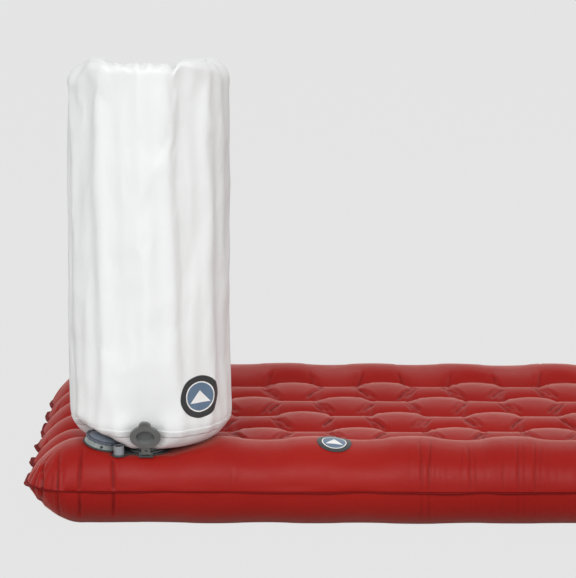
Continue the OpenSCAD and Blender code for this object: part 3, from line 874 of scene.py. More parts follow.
def refine_j(A):
    """Doubles the points across the pad; the weld columns stay sharp."""
    n = A.shape[1]
    out = np.zeros((A.shape[0], 2 * n - 1) + A.shape[2:])
    out[:, 0::2] = A
    for j in range(n - 1):
        has_left = j > 0 and j not in VALLEY_COLS
        has_right = j + 2 < n and (j + 1) not in VALLEY_COLS
        a, b = A[:, j], A[:, j + 1]
        if has_left and has_right:
            mid = (-A[:, j - 1] + 9 * a + 9 * b - A[:, j + 2]) / 16
        elif has_right:
            mid = (3 * a + 6 * b - A[:, j + 2]) / 8
        elif has_left:
            mid = (-A[:, j - 1] + 6 * a + 3 * b) / 8
        else:
            mid = (a + b) / 2
        out[:, 2 * j + 1] = mid
    return out


def add_creases(ob, creases, fine_j, sign, pressed_in=None):
    """Refines the skin's points and presses the creases in; welds and rim stay put.

    fine_j is 2 to double the columns too, sign is 1 for the top skin and -1 for the bottom.
    """
    skin = refine_i(read_points(ob.data).reshape(ROWS, COLS, 3) / MM)
    held = None if pressed_in is None else refine_i(pressed_in[..., None])
    if fine_j == 2:
        skin = refine_j(skin)
        if held is not None:
            held = refine_j(held)
    skin[..., 2] -= WELD_Z
    skin[..., 2] *= sign
    normals = facing(grid_normals(skin), 2, 1)
    depth = groove_depth(skin, creases)
    ni, nj = depth.shape
    weight = np.clip(np.minimum(edge_distance(nj)[None, :] / (1.0 * fine_j),
                                edge_distance(ni)[:, None] / 2.0), 0, 1)
    for j in VALLEY_COLS:
        for d in range(-fine_j, fine_j + 1):
            weight[:, fine_j * j + d] *= min(1.0, 0.25 + 0.75 * abs(d) / fine_j)
    if held is not None:
        weight = weight * np.clip(1 - held[..., 0] / 1.2, 0, 1)
    height = skin[..., 2]
    skin = skin - normals * (depth * weight)[..., None]
    skin[..., 2] = np.where(height > 1e-3, np.maximum(skin[..., 2], 0.05), skin[..., 2])
    skin[..., 2] *= sign
    skin[..., 2] += WELD_Z
    if sign < 0:
        skin[..., 2] = np.maximum(skin[..., 2], 0.25)
    old = ob.data
    ob.data = new_mesh(ob.name, skin.reshape(-1, 3), grid_faces(ni, nj, flip=sign < 0),
                       LOOKS["pad"])
    bpy.data.meshes.remove(old)
    return skin


TOP_CREASES = quilt_creases(11) + rail_pleats(5, upper=True) + end_pleats()
BOTTOM_CREASES = quilt_creases(12) + rail_pleats(6, upper=False) + end_pleats()
top_skin = add_creases(top, TOP_CREASES, 2, 1, dent)
add_creases(bottom, BOTTOM_CREASES, 1, -1)

cut_holes(top, [(PORT[0], PORT[1], 18.6, WELD_Z + 20),
                (BLEED[0], BLEED[1], 5.2, WELD_Z + 20),
                (DEFLATE_AT[0], DEFLATE_AT[1], 16.2, WELD_Z + 20)])
cut_holes(bottom, [])

# the open skins face outwards: up for the top, down for the bottom
for ob, up in ((top, True), (bottom, False)):
    if (sum(p.normal.z * p.area for p in ob.data.polygons) > 0) != up:
        ob.data.flip_normals()
place(top, "pad", "top_shell")
place(bottom, "pad", "bottom_shell")


# ------------------------------------------------------------------ perimeter weld
def ripple(count, sigma):
    strip = blur(np.tile(rng.normal(0, 1, (count, 1)), (1, 3)), sigma)[:, 1]
    return strip / strip.std()


def weld_band():
    """A thin flat band round the pad that fills the notches between the row ends."""
    # right end, from the near corner to the far one
    a = np.linspace(0, math.pi / 2, 16)[1:]
    far_dir = np.stack([np.cos(a), np.sin(a)], 1)
    near_dir = far_dir[::-1] * [1, -1]
    near_arc = [RAIL_X, TUBE_Y[0]] + RAIL_R * near_dir
    far_arc = [RAIL_X, TUBE_Y[5]] + RAIL_R * far_dir
    ys = np.linspace(TUBE_Y[0], TUBE_Y[5], 200)
    tips = np.interp(ys, top_form[-1, :, 1], top_form[-1, :, 0])
    filled = np.array([np.max(tips - (ys - y) ** 2 / 90.0) for y in ys])
    end_in = np.vstack([near_arc, np.stack([tips, ys], 1), far_arc])
    end_out = np.vstack([near_arc, np.stack([filled, ys], 1), far_arc])
    end_dir = np.vstack([near_dir, np.tile([1.0, 0.0], (len(ys), 1)), far_dir])
    # whole loop: right end, far side, left end, near side
    xs = np.linspace(RAIL_X, -RAIL_X, 380)[1:-1]
    far_side = np.stack([xs, np.full_like(xs, TUBE_Y[5] + RAIL_R)], 1)
    near_side = np.stack([xs[::-1], np.full_like(xs, TUBE_Y[0] - RAIL_R)], 1)
    far_n, near_n = np.tile([0.0, 1.0], (len(xs), 1)), np.tile([0.0, -1.0], (len(xs), 1))

    def loop(end, far, near):
        return np.vstack([end, far, end[::-1] * [-1, 1], near])

    inner, outer = loop(end_in, far_side, near_side), loop(end_out, far_side, near_side)
    outward = loop(end_dir, far_n, near_n)
    count = len(inner)
    short = ripple(count, 3.0)
    long = ripple(count, 9.0)
    is_end = np.abs(outer[:, 0]) > RAIL_X + 20
    width = 3.2 + 0.4 * long + np.where(is_end, 1.0 + 0.7 * np.clip(short, -1, 2), 0)
    # rows across the band: part of the width, extra half thickness
    profile = ((-0.6, 0.0), (0.25, 0.25), (0.5, 0.05), (0.75, 0.3), (1.0, 0.05))
    layers = []
    for sign in (1, -1):
        for part, extra in profile:
            xy = (inner if part < 0.1 else outer) + outward * (width * part)[:, None]
            wave = (0.9 * short + 0.8 * long) * max(part, 0) * np.where(is_end, 1.5, 1.0)
            layers.append(np.column_stack([xy, WELD_Z + wave + sign * (0.42 + extra)]))
    ob = make("pad_weld_band", np.vstack(layers), band_faces(len(profile), count),
              LOOKS["weld"])
    orient(ob, merge=0.00001)
    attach(ob, "pad")


weld_band()


# ------------------------------------------------------------------ inside the pad
def slab(name, node_name, mat, thick, wave):
    """A gently waved slab in the place of a CAD piece, with rounded edges."""
    lo, hi = cad_box(node_name)
    X, Y = np.meshgrid(np.linspace(lo[0], hi[0], 120), np.linspace(lo[1], hi[1], 12),
                       indexing="ij")
    mid_z = ((lo[2] + hi[2]) / 2 + wave * np.sin(X / 31.0 + Y / 17.0)
             + wave * 0.6 * np.sin(X / 13.0 - Y / 9.0))
    edge = np.minimum(np.minimum(X - lo[0], hi[0] - X), np.minimum(Y - lo[1], hi[1] - Y))
    half = thick / 2 * (0.25 + 0.75 * np.sqrt(np.clip(edge / 6.0, 0, 1)))
    ob = closed_sheet(name, np.stack([X, Y, mid_z + half], 2),
                      np.stack([X, Y, mid_z - half], 2), mat, reshade=False)
    place(ob, "pad", node_name)


def baffle(v):
    """Web between the two skins that follows the quilting line of valley v."""
    node_name = "baffle_%d" % (v + 1)
    lo, hi = cad_box(node_name)
    X, part = np.meshgrid(np.arange(lo[0], hi[0], 5.0), np.arange(9) / 8, indexing="ij")
    Z = lo[2] + (hi[2] - lo[2]) * part
    bow = 0.8 * np.sin(math.pi * part) * np.sin(X / 19.0)
    Y = VALLEY_Y[v] + swing(v, X) * 0.57 + bow
    ob = closed_sheet("baffle_web_%d" % (v + 1), np.stack([X, Y + 0.4, Z], 2),
                      np.stack([X, Y - 0.4, Z], 2), LOOKS["web"], reshade=False)
    place(ob, "pad", node_name)


for row in ("near_rail", "row_1", "row_2", "row_3", "row_4", "far_rail"):
    slab("batting_soft_" + row, "batting_" + row, LOOKS["batt"],
         thick=7.0, wave=0.9)
    slab("film_soft_" + row, "film_" + row, LOOKS["film"],
         thick=0.4, wave=0.7)
for v in range(5):
    baffle(v)


# ------------------------------------------------------------------ emblems
EMBLEM_FACE = (0.10, 0.16, 0.24)
EMBLEM_RING = (0.02, 0.021, 0.023)


def emblem_mat(name, axis_a, axis_b, centre, radius_a, radius_b):
    """Dark ring, pale line and a plain disc with one pale peak, from object coordinates."""
    mat, nt, bsdf = new_mat(name)
    coords = nt.nodes.new("ShaderNodeTexCoord").outputs["Object"]

    def along(axis, radius):
        dot = nt.nodes.new("ShaderNodeVectorMath")
        dot.operation = "DOT_PRODUCT"
        nt.links.new(coords, dot.inputs[0])
        dot.inputs[1].default_value = tuple(axis)
        middle = float(np.dot(axis, centre * MM))
        return op("DIVIDE", op("SUBTRACT", dot.outputs["Value"], middle), radius * MM)

    def op(operation, first, second=None):
        return calc(nt, operation, first, second)

    a = along(axis_a, radius_a)
    b = along(axis_b, radius_b)
    r = op("SQRT", op("ADD", op("MULTIPLY", a, a), op("MULTIPLY", b, b)))
    disc = op("LESS_THAN", r, 0.66)
    line = op("MULTIPLY", op("LESS_THAN", r, 0.72), op("GREATER_THAN", r, 0.66))
    slopes = op("ADD", op("MULTIPLY", op("ABSOLUTE", a), 1.15), b)
    peak = op("MULTIPLY", op("LESS_THAN", slopes, 0.30), op("GREATER_THAN", b, -0.28))
    peak = op("MULTIPLY", peak, disc)
    color = mix_color(nt, disc, rgba(EMBLEM_RING), rgba(EMBLEM_FACE))
    color = mix_color(nt, line, color, rgba((0.78, 0.78, 0.76)))
    color = mix_color(nt, peak, color, rgba((0.80, 0.80, 0.78)))
    nt.links.new(color, bsdf.inputs["Base Color"])
    grain = noise(nt, coords, Scale=300.0, Detail=3.0)
    nt.links.new(bump(nt, grain, strength=0.25, distance=0.0002), bsdf.inputs["Normal"])
    set_inputs(bsdf, Roughness=0.5, Sheen_Weight=0.15)
    return mat


def disc_grid(n, radius_a, radius_b):
    """A square grid of n x n points squeezed so that its rim is a clean ellipse."""
    g = np.linspace(-1, 1, n)
    A, B = np.meshgrid(g * radius_a, g * radius_b, indexing="ij")
    return (A * np.sqrt(1 - 0.5 * (B / radius_b) ** 2),
            B * np.sqrt(1 - 0.5 * (A / radius_a) ** 2))


def emblem_patch(name, points, normals, lift, thick, mat):
    return closed_sheet(name, points + normals * (lift + thick), points + normals * lift,
                        mat, reshade=True)


def sample_top(px, py):
    """Height of the top skin at plan points."""
    rows_x = top_skin[:, 48, 0]              # a column near the crest of the near rail
    first = np.clip(np.searchsorted(rows_x, px) - 1, 0, len(rows_x) - 2)
    out = np.zeros(px.shape)
    for at in np.ndindex(px.shape):
        i = int(first[at])
        f = (px[at] - rows_x[i]) / max(1e-6, rows_x[i + 1] - rows_x[i])
        row = top_skin[i] * (1 - f) + top_skin[i + 1] * f
        out[at] = np.interp(py[at], row[:, 1], row[:, 2])
    return out


def pad_emblem():
    """Round emblem on the front of the near rail."""
    radius = 21.5
    middle = cad_middle("pad_badge")
    angle = math.atan2(-middle[1], middle[2] - WELD_Z)   # round the rail, from its crest
    sine, cosine = math.sin(angle), math.cos(angle)
    centre = np.array([middle[0], -RAIL_R * sine, WELD_Z + RAIL_R * cosine])
    A, B = disc_grid(41, radius, radius)
    X = centre[0] + A
    Y = -RAIL_R * np.sin(angle - B / RAIL_R)
    Z = sample_top(X, Y)
    Z = blur(Z, 2.0) * 0.6 + Z * 0.4
    points = np.stack([X, Y, Z], 2)
    mat = emblem_mat("pad_badge_look", np.array([1.0, 0, 0]), np.array([0, cosine, sine]),
                     centre, radius, radius)
    ob = emblem_patch("pad_emblem", points, facing(grid_normals(points), 2, 1),
                      lift=0.35, thick=0.4, mat=mat)
    place(ob, "pad", "pad_badge")


pad_emblem()

# ------------------------------------------------------------------ the pump sack's form
AROUND = 240
ANGLE = (np.arange(AROUND) * 2 * math.pi / AROUND)[None, :]
COS, SIN = np.cos(ANGLE), np.sin(ANGLE)
SHOULDER_Z = SACK_TOP - 30
CLOSURE_TILT = math.radians(35.0)
CLOSURE_Y = 10.0                             # the closure's slope starts behind the crest

# Rows from the middle of the base up to the middle of the top, in five zones
FLAT, EDGE, WALL, SHOULDER, TOP = range(5)
edge_angle = np.linspace(0, math.pi / 2, 18)[1:]
wall_z = np.arange(SACK_Z + BASE_ROUND + 4.5, SHOULDER_Z, 4.5)
shoulder_angle = np.linspace(0, math.pi / 2, 12)
ZONE = np.repeat([FLAT, EDGE, WALL, SHOULDER, TOP], [22, 17, len(wall_z), 12, 23])[:, None]
level = np.concatenate([
    np.full(22, SACK_Z), SACK_Z + BASE_ROUND - BASE_ROUND * np.cos(edge_angle), wall_z,
    SHOULDER_Z + 30 * np.sin(shoulder_angle), np.full(23, SACK_TOP)])[:, None]
SACK_ROWS = len(level)
# Folds: waves round the sack, amplitude, phase, drift over the height
BODY_FOLDS = [(5, 1.3, 1.1, 0.8), (8, 1.0, -0.4, -1.3), (13, 0.7, 2.0, 2.1),
              (21, 0.4, 0.0, 3.0)]
TOP_FOLDS = [(9, 2.0, 0.6, 0), (16, 1.6, 1.9, 0), (27, 1.1, 0.3, 0)]
BASE_FOLDS = [(17, 0.9, 0.5, 0), (29, 0.8, 1.5, 0)]
SHOULDER_FOLDS = [(11, 1.0, 0.4, 0), (19, 0.8, 1.0, 0)]


def folds(terms, rise=0.0):
    return sum(amp * np.cos(n * ANGLE + phase + drift * rise)
               for n, amp, phase, drift in terms)


def fold_offsets():
    """How far the fabric stands out from the plain form, row by row round the sack."""
    rise = (level - SACK_Z) / (SACK_TOP - SACK_Z)
    shape = (SACK_ROWS, AROUND)
    body = sstep(0.03, 0.14, rise) * (1 - sstep(0.90, 0.985, rise))
    upper = sstep(0.80, 0.97, rise) * (ZONE < TOP)
    base = (1 - sstep(0.03, 0.20, rise)) * sstep(0.015, 0.045, rise)
    soft = blur(rng.normal(0, 1, shape), 4.0, wrap_j=True)
    soft /= soft.std()
    # wrinkles that run round the sack
    level_wrinkles = blur(blur(rng.normal(0, 1, shape), 2.2, wrap_j=True), 1.0)
    kernel = gauss(24, 9.0)
    level_wrinkles = sum(kernel[i] * np.roll(level_wrinkles, i - 24, 1) for i in range(49))
    level_wrinkles /= level_wrinkles.std()
    offset = (body * (-1.6 + 0.85 * folds(BODY_FOLDS, rise) + 0.5 * soft
                      + 0.45 * level_wrinkles)
              + upper * (folds(TOP_FOLDS) * 0.28 - 0.8)
              + base * (folds(BASE_FOLDS) * 0.8 - 0.6))
    return np.minimum(np.where(ZONE <= FLAT, 0, offset), 0.9)


def top_height(X, Y):
    """Top panel, about the sack's axis: a lobe either side of a pleated middle."""
    front = 1 - sstep(2, 24, Y)
    # the front hem stands up and the panel sags behind it
    h = SACK_TOP - 4.0 + 12.0 * sstep(30, 95, -Y)
    lobe = (0.35 + 0.65 * front) * (1 - 0.40 * sstep(50, 95, -Y))
    h = h + 10.0 * np.exp(-(np.abs(X + 62) / 15.0) ** 3.5) * lobe
    h = h + 8.5 * np.exp(-(np.abs(X - 65) / 30.0) ** 4) * lobe
    h = h - 7.5 * np.exp(-((X - 36 - 0.02 * Y) / 3.8) ** 2) * front
    slant = np.cos((X + 0.55 * Y) / 3.4 + 1.2 * np.sin(X / 17.0))
    h = h + 1.5 * slant * (1 - sstep(20, 38, np.abs(X + 14))) * front
    h = h + 0.9 * np.cos((X - 0.4 * Y) / 2.3) * (1 - sstep(24, 44, np.abs(X + 6))) * front
    plane = SACK_TOP - (Y - CLOSURE_Y) * math.tan(CLOSURE_TILT) - 1.1
    return np.minimum(smooth_min(h, plane, 9.0), np.where(Y > 18, plane, 1e9))


def sack_form():
    """Radius and height of every point of the sack."""
    offset = fold_offsets()
    round_r = 24.0 - 11.0 * sstep(0.55, 0.95, -SIN)      # a tighter shoulder at the front
    lower = np.concatenate([np.linspace(2.0, FLAT_R, 22),
                            FLAT_R + BASE_ROUND * np.sin(edge_angle),
                            np.full(len(wall_z), SACK_R)])[:, None]
    n = len(lower)
    a = shoulder_angle[:, None]
    t = np.linspace(1.0, 0.0, 23)[:, None]
    radius = np.vstack([
        lower + offset[:n],
        SACK_R - round_r + round_r * np.cos(a) ** 0.9 + offset[n:n + 12],
        (SACK_R - round_r - 1.5) * t + 2.0 * (1 - t)])
    over = top_height(radius * COS, radius * SIN)
    wall_top = top_height(SACK_R * COS, SACK_R * SIN) - round_r
    foot = SEAM_Z + 18
    stretched = foot + (level - foot) * (wall_top - foot) / (SHOULDER_Z - foot)
    height = np.where(ZONE == WALL, stretched, level * np.ones((1, AROUND)))
    height[n:n + 12] = (over[n:n + 12] - round_r * (1 - np.sin(a) ** 0.9)
                        + folds(SHOULDER_FOLDS) * np.cos(a) * 0.35)
    height[n + 12:] = over[n + 12:]
    return radius, height


# direction of the open inflation cap from its hinge, in the y-z plane
cap = cad_points("inflate_cap")
cap_tip = cap[np.argmax(np.hypot(cap[:, 1] - HINGE_Y, cap[:, 2] - HINGE_Z))]
CAP_ANGLE = math.atan2(cap_tip[2] - HINGE_Z, cap_tip[1] - HINGE_Y) - math.radians(2.6)


def hits_valves(x, y, z, gap):
    """True within gap of the deflation valve, the standing inflation cap or the bleed."""
    p = np.stack([x - DEFLATE_AT[0], y - DEFLATE_AT[1], z - DEFLATE_AT[2]], -1)
    axial = p @ DEFLATE_AXIS
    radial = np.linalg.norm(p - axial[..., None] * DEFLATE_AXIS, axis=-1)
    deflate = (radial < 23.5 + gap) & (axial > -20) & (axial < 13.0 + gap)
    ca, sa = math.cos(CAP_ANGLE), math.sin(CAP_ANGLE)
    dx, dy, dz = x - HINGE_X, y - HINGE_Y, z - HINGE_Z
    out, lift = ca * dy + sa * dz, -sa * dy + ca * dz
    reach = PORT[1] - HINGE_Y
    lid = np.hypot(dx, out - reach) < 19.2 + gap
    tab = np.hypot(dx, out - reach - 19) < 7.7 + gap
    arm = (np.abs(dx) < 6 + gap) & (out > -3) & (out < reach)
    standing = (lid | tab | arm) & (lift > -5.5 - gap) & (lift < 60)
    bleed = (np.hypot(x - BLEED[0], y - BLEED[1]) < 7.2 + gap) & (z < BLEED_TOP + gap)
    return deflate | standing | bleed


def valve_hollows(radius, height):
    """How far the fabric leans in to clear the valves."""
    need = np.zeros_like(radius)
    for f in np.linspace(1.0, 0.30, 71):
        x, y = SACK_X + radius * f * COS, SACK_Y + radius * f * SIN
        hit = hits_valves(x, y, height, 1.9) & (height < 190)
        need = np.maximum(need, np.where(hit, radius * (1 - f) + 1.5, 0))
    wide = need.copy()
    for di in (-1, 0, 1):
        for dj in (-1, 0, 1):
            share = 0.92 if abs(di) + abs(dj) > 1 else 1
            wide = np.maximum(wide, np.roll(np.roll(need, di, 0), dj, 1) * share)
    # the fabric leans in gently above and beside the standing cap
    by_cap = wide * (np.exp(-((SACK_X + radius * COS - HINGE_X) / 34.0) ** 4) * (SIN < 0))
    above = by_cap
    for k in range(1, 19):
        raised = np.vstack([np.zeros((k, AROUND)), by_cap[:-k]])
        above = np.maximum(above, raised * (1 - k / 19.0) ** 1.4)
    beside = above
    for k in range(1, 13):
        for turn in (-k, k):
            beside = np.maximum(beside, np.roll(above, turn, 1) * (1 - k / 13.0) ** 1.4)
    wide = np.maximum(wide, beside * (ZONE >= WALL))
    return blur(np.maximum(blur(wide, 1.8, wrap_j=True), need), 0.8, wrap_j=True)


sack_radius, sack_height = sack_form()
hollow = valve_hollows(sack_radius, sack_height)
hollow_radius = np.maximum(sack_radius - hollow, 1.0)
sack_points = np.stack([SACK_X + hollow_radius * COS, SACK_Y + hollow_radius * SIN,
                        sack_height], 2)
off_seam = np.abs(sack_height[:, AROUND // 2] - SEAM_Z) + (ZONE[:, 0] != EDGE) * 99
SEAM_ROW = int(np.argmin(off_seam))
sack_points[SEAM_ROW, :, 2] = SEAM_Z


# ------------------------------------------------------------------ sack fabric
def sack_piece(name, rows, closed_top):
    """Rows of the sack as one piece, closed at its middle at the top or at the bottom."""
    ni = len(rows)
    centre = ni * AROUND
    verts = np.vstack([rows.reshape(-1, 3), rows[-1 if closed_top else 0].mean(0)])
    faces = list(grid_faces(ni, AROUND, wrap_j=True))
    last = (ni - 1) * AROUND
    for j in range(AROUND):
        k = (j + 1) % AROUND
        faces.append((last + k, last + j, centre) if closed_top else (j, k, centre))
    return make(name, verts, faces, LOOKS["sack"])


def face_outward(ob, centre):
    """Turns the faces away from centre (metres)."""
    bm = bmesh.new()
    bm.from_mesh(ob.data)
    bmesh.ops.recalc_face_normals(bm, faces=bm.faces)
    c = Vector(centre)
    if sum((f.calc_center_median() - c).dot(f.normal) * f.calc_area() for f in bm.faces) < 0:
        bmesh.ops.reverse_faces(bm, faces=bm.faces)
    bm.to_mesh(ob.data)
    bm.free()
    ob.data.update()
    set_smooth(ob.data)


sack_body = sack_piece("sack_body_fabric", sack_points[SEAM_ROW:], closed_top=True)
sack_base = sack_piece("sack_base_fabric", sack_points[:SEAM_ROW + 1], closed_top=False)
body_rows = SACK_ROWS - SEAM_ROW
sack_pins = np.zeros((body_rows, AROUND))
sack_pins[0] = 1
sack_pins[1] = 0.6
sack_pins[ZONE[SEAM_ROW:, 0] >= TOP] = 1.0
sack_pins[hollow[SEAM_ROW:] > 0.8] = 1.0
cloth(sack_body, np.append(sack_pins.ravel(), 1.0), pressure=1.2, frames=18,
      rest_scale=(1.006, 1.006, 1.010), cap=0.004, bend=0.8)
body_points = (read_points(sack_body.data) / MM)[:-1].reshape(body_rows, AROUND, 3)

cut_holes(sack_base, [(PORT[0], PORT[1], 14.4, 0)])
for ob in (sack_body, sack_base):
    face_outward(ob, (SACK_X * MM, SACK_Y * MM, 0.35))
for ob in (sack_body, sack_base):
    modifier = ob.modifiers.new("Solidify", "SOLIDIFY")
    modifier.thickness = 0.0006
    modifier.offset = -1
    depsgraph = bpy.context.evaluated_depsgraph_get()
    thick_mesh = bpy.data.meshes.new_from_object(ob.evaluated_get(depsgraph))
    ob.modifiers.remove(modifier)
    ob.data = thick_mesh
place(sack_body, "pump_sack", "sack_body")
place(sack_base, "pump_sack", "sack_base_panel")
SACK_ANCHOR = (SACK_X * MM, SACK_Y * MM, SEAM_Z * MM)


def seam_tape():
    """Tape round the base seam, closed and lying on the fabric."""
    heights = np.linspace(SEAM_Z - 5.0, SEAM_Z + 5.0, 7)
    offsets = (0.05, 0.55, 0.6, 0.35, 0.6, 0.55, 0.05)   # how far each row stands off
    whole = np.concatenate([sack_points[:SEAM_ROW], body_points], 0)
    normals = grid_normals(whole, wrap_j=True)
    if np.sum((whole - np.array([SACK_X, SACK_Y, 300.0])) * normals) < 0:
        normals = -normals
    near = slice(22, SEAM_ROW + 14)
    outer, inner = [], []
    for z, offset in zip(heights, offsets):
        row, normal = np.zeros((AROUND, 3)), np.zeros((AROUND, 3))
        for j in range(AROUND):
            for d in range(3):
                row[j, d] = np.interp(z, whole[near, j, 2], whole[near, j, d])
                normal[j, d] = np.interp(z, whole[near, j, 2], normals[near, j, d])
        normal /= np.linalg.norm(normal, axis=1, keepdims=True)
        outer.append(row + normal * offset)
        inner.append(row + normal * 0.03)
    ob = make("sack_seam_tape", np.vstack(outer + inner), band_faces(len(heights), AROUND),
              LOOKS["tape"])
    face_outward(ob, SACK_ANCHOR)
    place(ob, "pump_sack", "sack_base_binding")


def sack_emblem():
    """Oval emblem on the front of the sack, right of its middle."""
    angle, centre_z = math.radians(-49), 169.0
    half_w, half_h = 30.5, 26.5
    A, B = disc_grid(45, half_w, half_h)
    around, height = angle + A / SACK_R, centre_z + B
    low = body_points[:90]
    points = np.zeros(A.shape + (3,))
    for at in np.ndindex(A.shape):
        u = (around[at] / (2 * math.pi) * AROUND) % AROUND
        j = int(u)
        f, k = u - j, (j + 1) % AROUND
        for d in range(2):
            a = np.interp(height[at], low[:, j, 2], low[:, j, d])
            b = np.interp(height[at], low[:, k, 2], low[:, k, d])
            points[at][d] = a * (1 - f) + b * f
        points[at][2] = height[at]
    centre = np.array([SACK_X + SACK_R * math.cos(angle), SACK_Y + SACK_R * math.sin(angle),
                       centre_z])
    mat = emblem_mat("sack_badge_look", np.array([-math.sin(angle), math.cos(angle), 0]),
                     np.array([0, 0, 1.0]), centre, half_w * 0.965, half_h)
    ob = emblem_patch("sack_emblem", points, facing(grid_normals(points), 1, -1),
                      lift=0.15, thick=0.35, mat=mat)
    place(ob, "pump_sack", "sack_badge")
    return ob


seam_tape()
emblem = sack_emblem()
# the sack body and its emblem get meshes of their own, since the sack collapses as it is pumped
for ob in (sack_body, emblem):
    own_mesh(ob)

# ------------------------------------------------------------------ the sack's closure
# It is drawn in its own tilted frame: x as the world's, y down the slope, z out of it.
CLOSURE_AT = np.array([SACK_X, SACK_Y + CLOSURE_Y, SACK_TOP])
CLOSURE_DOWN = np.array([0, math.cos(CLOSURE_TILT), -math.sin(CLOSURE_TILT)])
CLOSURE_OUT = np.array([0, math.sin(CLOSURE_TILT), math.cos(CLOSURE_TILT)])


def local_box(name):
    co = cad_points(name) - CLOSURE_AT
    local = np.stack([co[:, 0], co @ CLOSURE_DOWN, co @ CLOSURE_OUT], 1)
    return local.min(0), local.max(0)


def to_world(points):
    p = np.asarray(points, float)
    return (CLOSURE_AT + p[:, :1] * np.array([1.0, 0, 0]) + p[:, 1:2] * CLOSURE_DOWN
            + p[:, 2:3] * CLOSURE_OUT)


def rolled_collar():
    """A spiral roll of the top hem with soft wrinkles."""
    lo, hi = local_box("rolled_collar")
    nx, per_turn, turns, thick = 70, 40, 2.2, 0.7
    n = int(per_turn * turns)
    x = np.linspace(lo[0], hi[0], nx)[:, None]
    wobble = blur(rng.normal(0, 1, (nx, n)), 2.5)
    wobble /= wobble.std()
    pinch = (1 - 0.10 * np.exp(-((x - 31) / 5.0) ** 2)
             - 0.05 * np.exp(-((x + 30) / 4.0) ** 2))
    q = np.arange(n)[None, :]
    radius = (4.3 + 4.2 * q / n + 0.22 * wobble * (q > per_turn)) * pinch
    angle = q / per_turn * 2 * math.pi

    def layer(r):
        return np.stack([x + 0 * r, (lo[1] + hi[1]) / 2 - r * np.sin(angle),
                         (lo[2] + hi[2]) / 2 + r * np.cos(angle) - 0.2], 2)

    grid = np.concatenate([layer(radius), layer(radius - thick)[:, ::-1]], 1)
    faces = list(grid_faces(nx, 2 * n, wrap_j=True))
    for first in (0, (nx - 1) * 2 * n):      # the two ends
        for k in range(n - 1):
            back = first + 2 * n - 1 - k
            faces.append((first + k, first + k + 1, back - 1, back))
    ob = make("rolled_collar_fabric", to_world(grid.reshape(-1, 3)), faces, LOOKS["sack"])
    orient(ob)
    place(ob, "sack_closure", "rolled_collar")


def strap(name, node_name, body):
    """Flat webbing in the place of a CAD strap: two legs joined by a rounded corner."""
    corner, half = 6, 0.55
    lo, hi = local_box(node_name)
    left = (lo[0] + hi[0]) / 2 < 0
    outer_x = lo[0] + 0.6 if left else hi[0] - 0.6
    inner_x = hi[0] if left else lo[0]
    end_y = hi[1] - 0.6
    sign = 1 if left else -1
    path = [(outer_x, y) for y in np.linspace(lo[1], end_y - corner, 14)]
    path += [(outer_x + sign * (corner - corner * math.cos(a)),
              end_y - corner + corner * math.sin(a))
             for a in np.linspace(0, math.pi / 2, 9)[1:]]
    path += [(x, end_y) for x in np.linspace(outer_x + sign * corner, inner_x, 12)[1:]]
    path = np.array(path)
    tangent = np.gradient(path, axis=0)
    tangent /= np.linalg.norm(tangent, axis=1, keepdims=True)
    # cross-section: offset from the path and z, thinner at both edges
    zs = np.linspace(lo[2] + 0.1, hi[2] - 0.1, 7)
    offsets = [half * (0.75 if q in (0, 6) else 1.0) for q in range(7)]
    section = list(zip(offsets, zs)) + [(-o, z) for o, z in zip(offsets[::-1], zs[::-1])]
    verts = [(x - ty * o, y + tx * o, z)
             for (x, y), (tx, ty) in zip(path, tangent) for o, z in section]
    m = len(section)
    faces = [tuple(f) for f in grid_faces(len(path), m, wrap_j=True)]
    faces.append(tuple(range(m)))
    faces.append(tuple((len(path) - 1) * m + i for i in range(m))[::-1])
    ob = make(name, to_world(verts), faces, LOOKS["webbing"], smooth=False)
    orient(ob, reshade=False)
    place(ob, body, node_name)


rolled_collar()
strap("webbing_left", "collar_strap_left", "buckle_male")
strap("webbing_right", "collar_strap_right", "sack_closure")

# ------------------------------------------------------------------ studio (metres)
BACKDROP = (0.79, 0.79, 0.79, 1)             # what the camera sees of floor and world


def studio_floor():
    """A grey floor that the camera sees almost entirely as the backdrop's tone."""
    mat, nt, bsdf = new_mat("studio_floor")
    set_inputs(bsdf, Base_Color=(0.42, 0.42, 0.42, 1), Roughness=0.9, Specular_IOR_Level=0.0)
    glow = nt.nodes.new("ShaderNodeEmission")
    set_inputs(glow, Color=BACKDROP, Strength=1.0)
    rays = nt.nodes.new("ShaderNodeLightPath")
    share = calc(nt, "MULTIPLY", rays.outputs["Is Camera Ray"], 0.975)
    mix = nt.nodes.new("ShaderNodeMixShader")
    for i, output in enumerate((share, bsdf.outputs[0], glow.outputs[0])):
        nt.links.new(output, mix.inputs[i])
    nt.links.new(mix.outputs[0], nt.nodes["Material Output"].inputs[0])
    side, z = 60.0 / MM, -1.0
    ob = make("studio_floor", [(-side, -side, z), (side, -side, z), (side, side, z),
                               (-side, side, z)], [(0, 1, 2, 3)], mat, smooth=False)


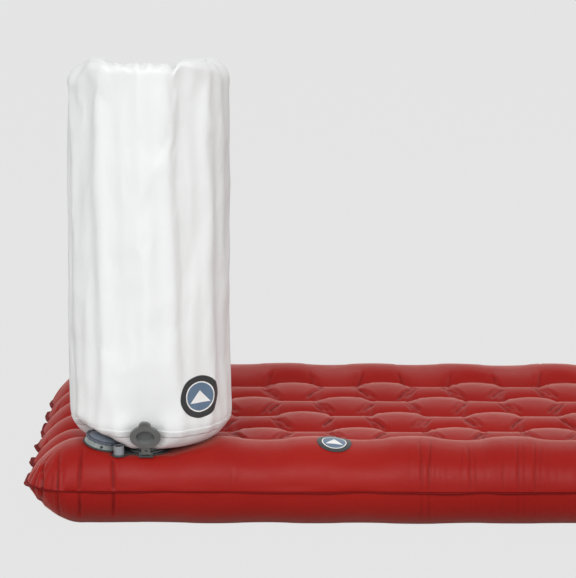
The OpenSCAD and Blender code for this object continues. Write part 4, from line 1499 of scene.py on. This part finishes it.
def studio_world():
    """Brighter low down than overhead; the camera sees the plain backdrop."""
    world = bpy.data.worlds.new("studio")
    bpy.context.scene.world = world
    world.use_nodes = True
    nt = world.node_tree
    coords = nt.nodes.new("ShaderNodeTexCoord")
    split = nt.nodes.new("ShaderNodeSeparateXYZ")
    nt.links.new(coords.outputs["Generated"], split.inputs[0])
    sky = ramp(nt, split.outputs[2], (0.95, 0.95, 0.95), (0.42, 0.42, 0.42), 0.0, 0.75)
    sky.color_ramp.elements.new(0.30).color = (0.90, 0.90, 0.90, 1)
    rays = nt.nodes.new("ShaderNodeLightPath")
    color = mix_color(nt, rays.outputs["Is Camera Ray"], sky.outputs[0], BACKDROP)
    background = nt.nodes["Background"]
    nt.links.new(color, background.inputs[0])
    background.inputs[1].default_value = 1.0


def area(name, at, target, size, power):
    light = bpy.data.lights.new(name, "AREA")
    light.shape = "RECTANGLE"
    light.size, light.size_y = size
    light.energy = power
    ob = bpy.data.objects.new(name, light)
    ob.location = at
    ob.rotation_euler = (Vector(target) - Vector(at)).to_track_quat("-Z", "Y").to_euler()
    bpy.context.scene.collection.objects.link(ob)


def camera():
    """Looks along +y and slightly down, through a long lens."""
    data = bpy.data.cameras.new("camera")
    ob = bpy.data.objects.new("camera", data)
    bpy.context.scene.collection.objects.link(ob)
    ob.location = (-0.5832, -3.5000, 1.0526)
    ob.rotation_mode = "XYZ"
    pitch, roll = math.radians(12.16), math.radians(0.13)
    forward = Vector((0, math.cos(pitch), -math.sin(pitch)))
    level_right = Vector((1, 0, 0))
    right = level_right * math.cos(roll) + level_right.cross(forward) * math.sin(roll)
    up = right.cross(forward)
    ob.rotation_euler = Matrix((right, up, -forward)).transposed().to_euler()
    data.sensor_fit = "HORIZONTAL"
    data.sensor_width = 36.0
    data.lens = 180.5875
    data.clip_end = 500
    bpy.context.scene.camera = ob


studio_floor()
studio_world()
area("key_front", at=(-1.0, -3.0, 2.1), target=(-0.5, 0.0, 0.15), size=(3.6, 1.3), power=80)
area("side_left", at=(-3.4, -1.6, 1.0), target=(-0.7, 0, 0.3), size=(0.8, 2.0), power=4)
area("top_back", at=(0.1, 2.1, 2.4), target=(-0.2, 0.2, 0.1), size=(4.2, 0.9), power=22)
area("side_right", at=(2.4, -2.2, 1.2), target=(-0.6, 0, 0.3), size=(0.8, 2.0), power=10)
camera()
bpy.context.scene.view_settings.view_transform = "Standard"

bpy.context.view_layer.update()
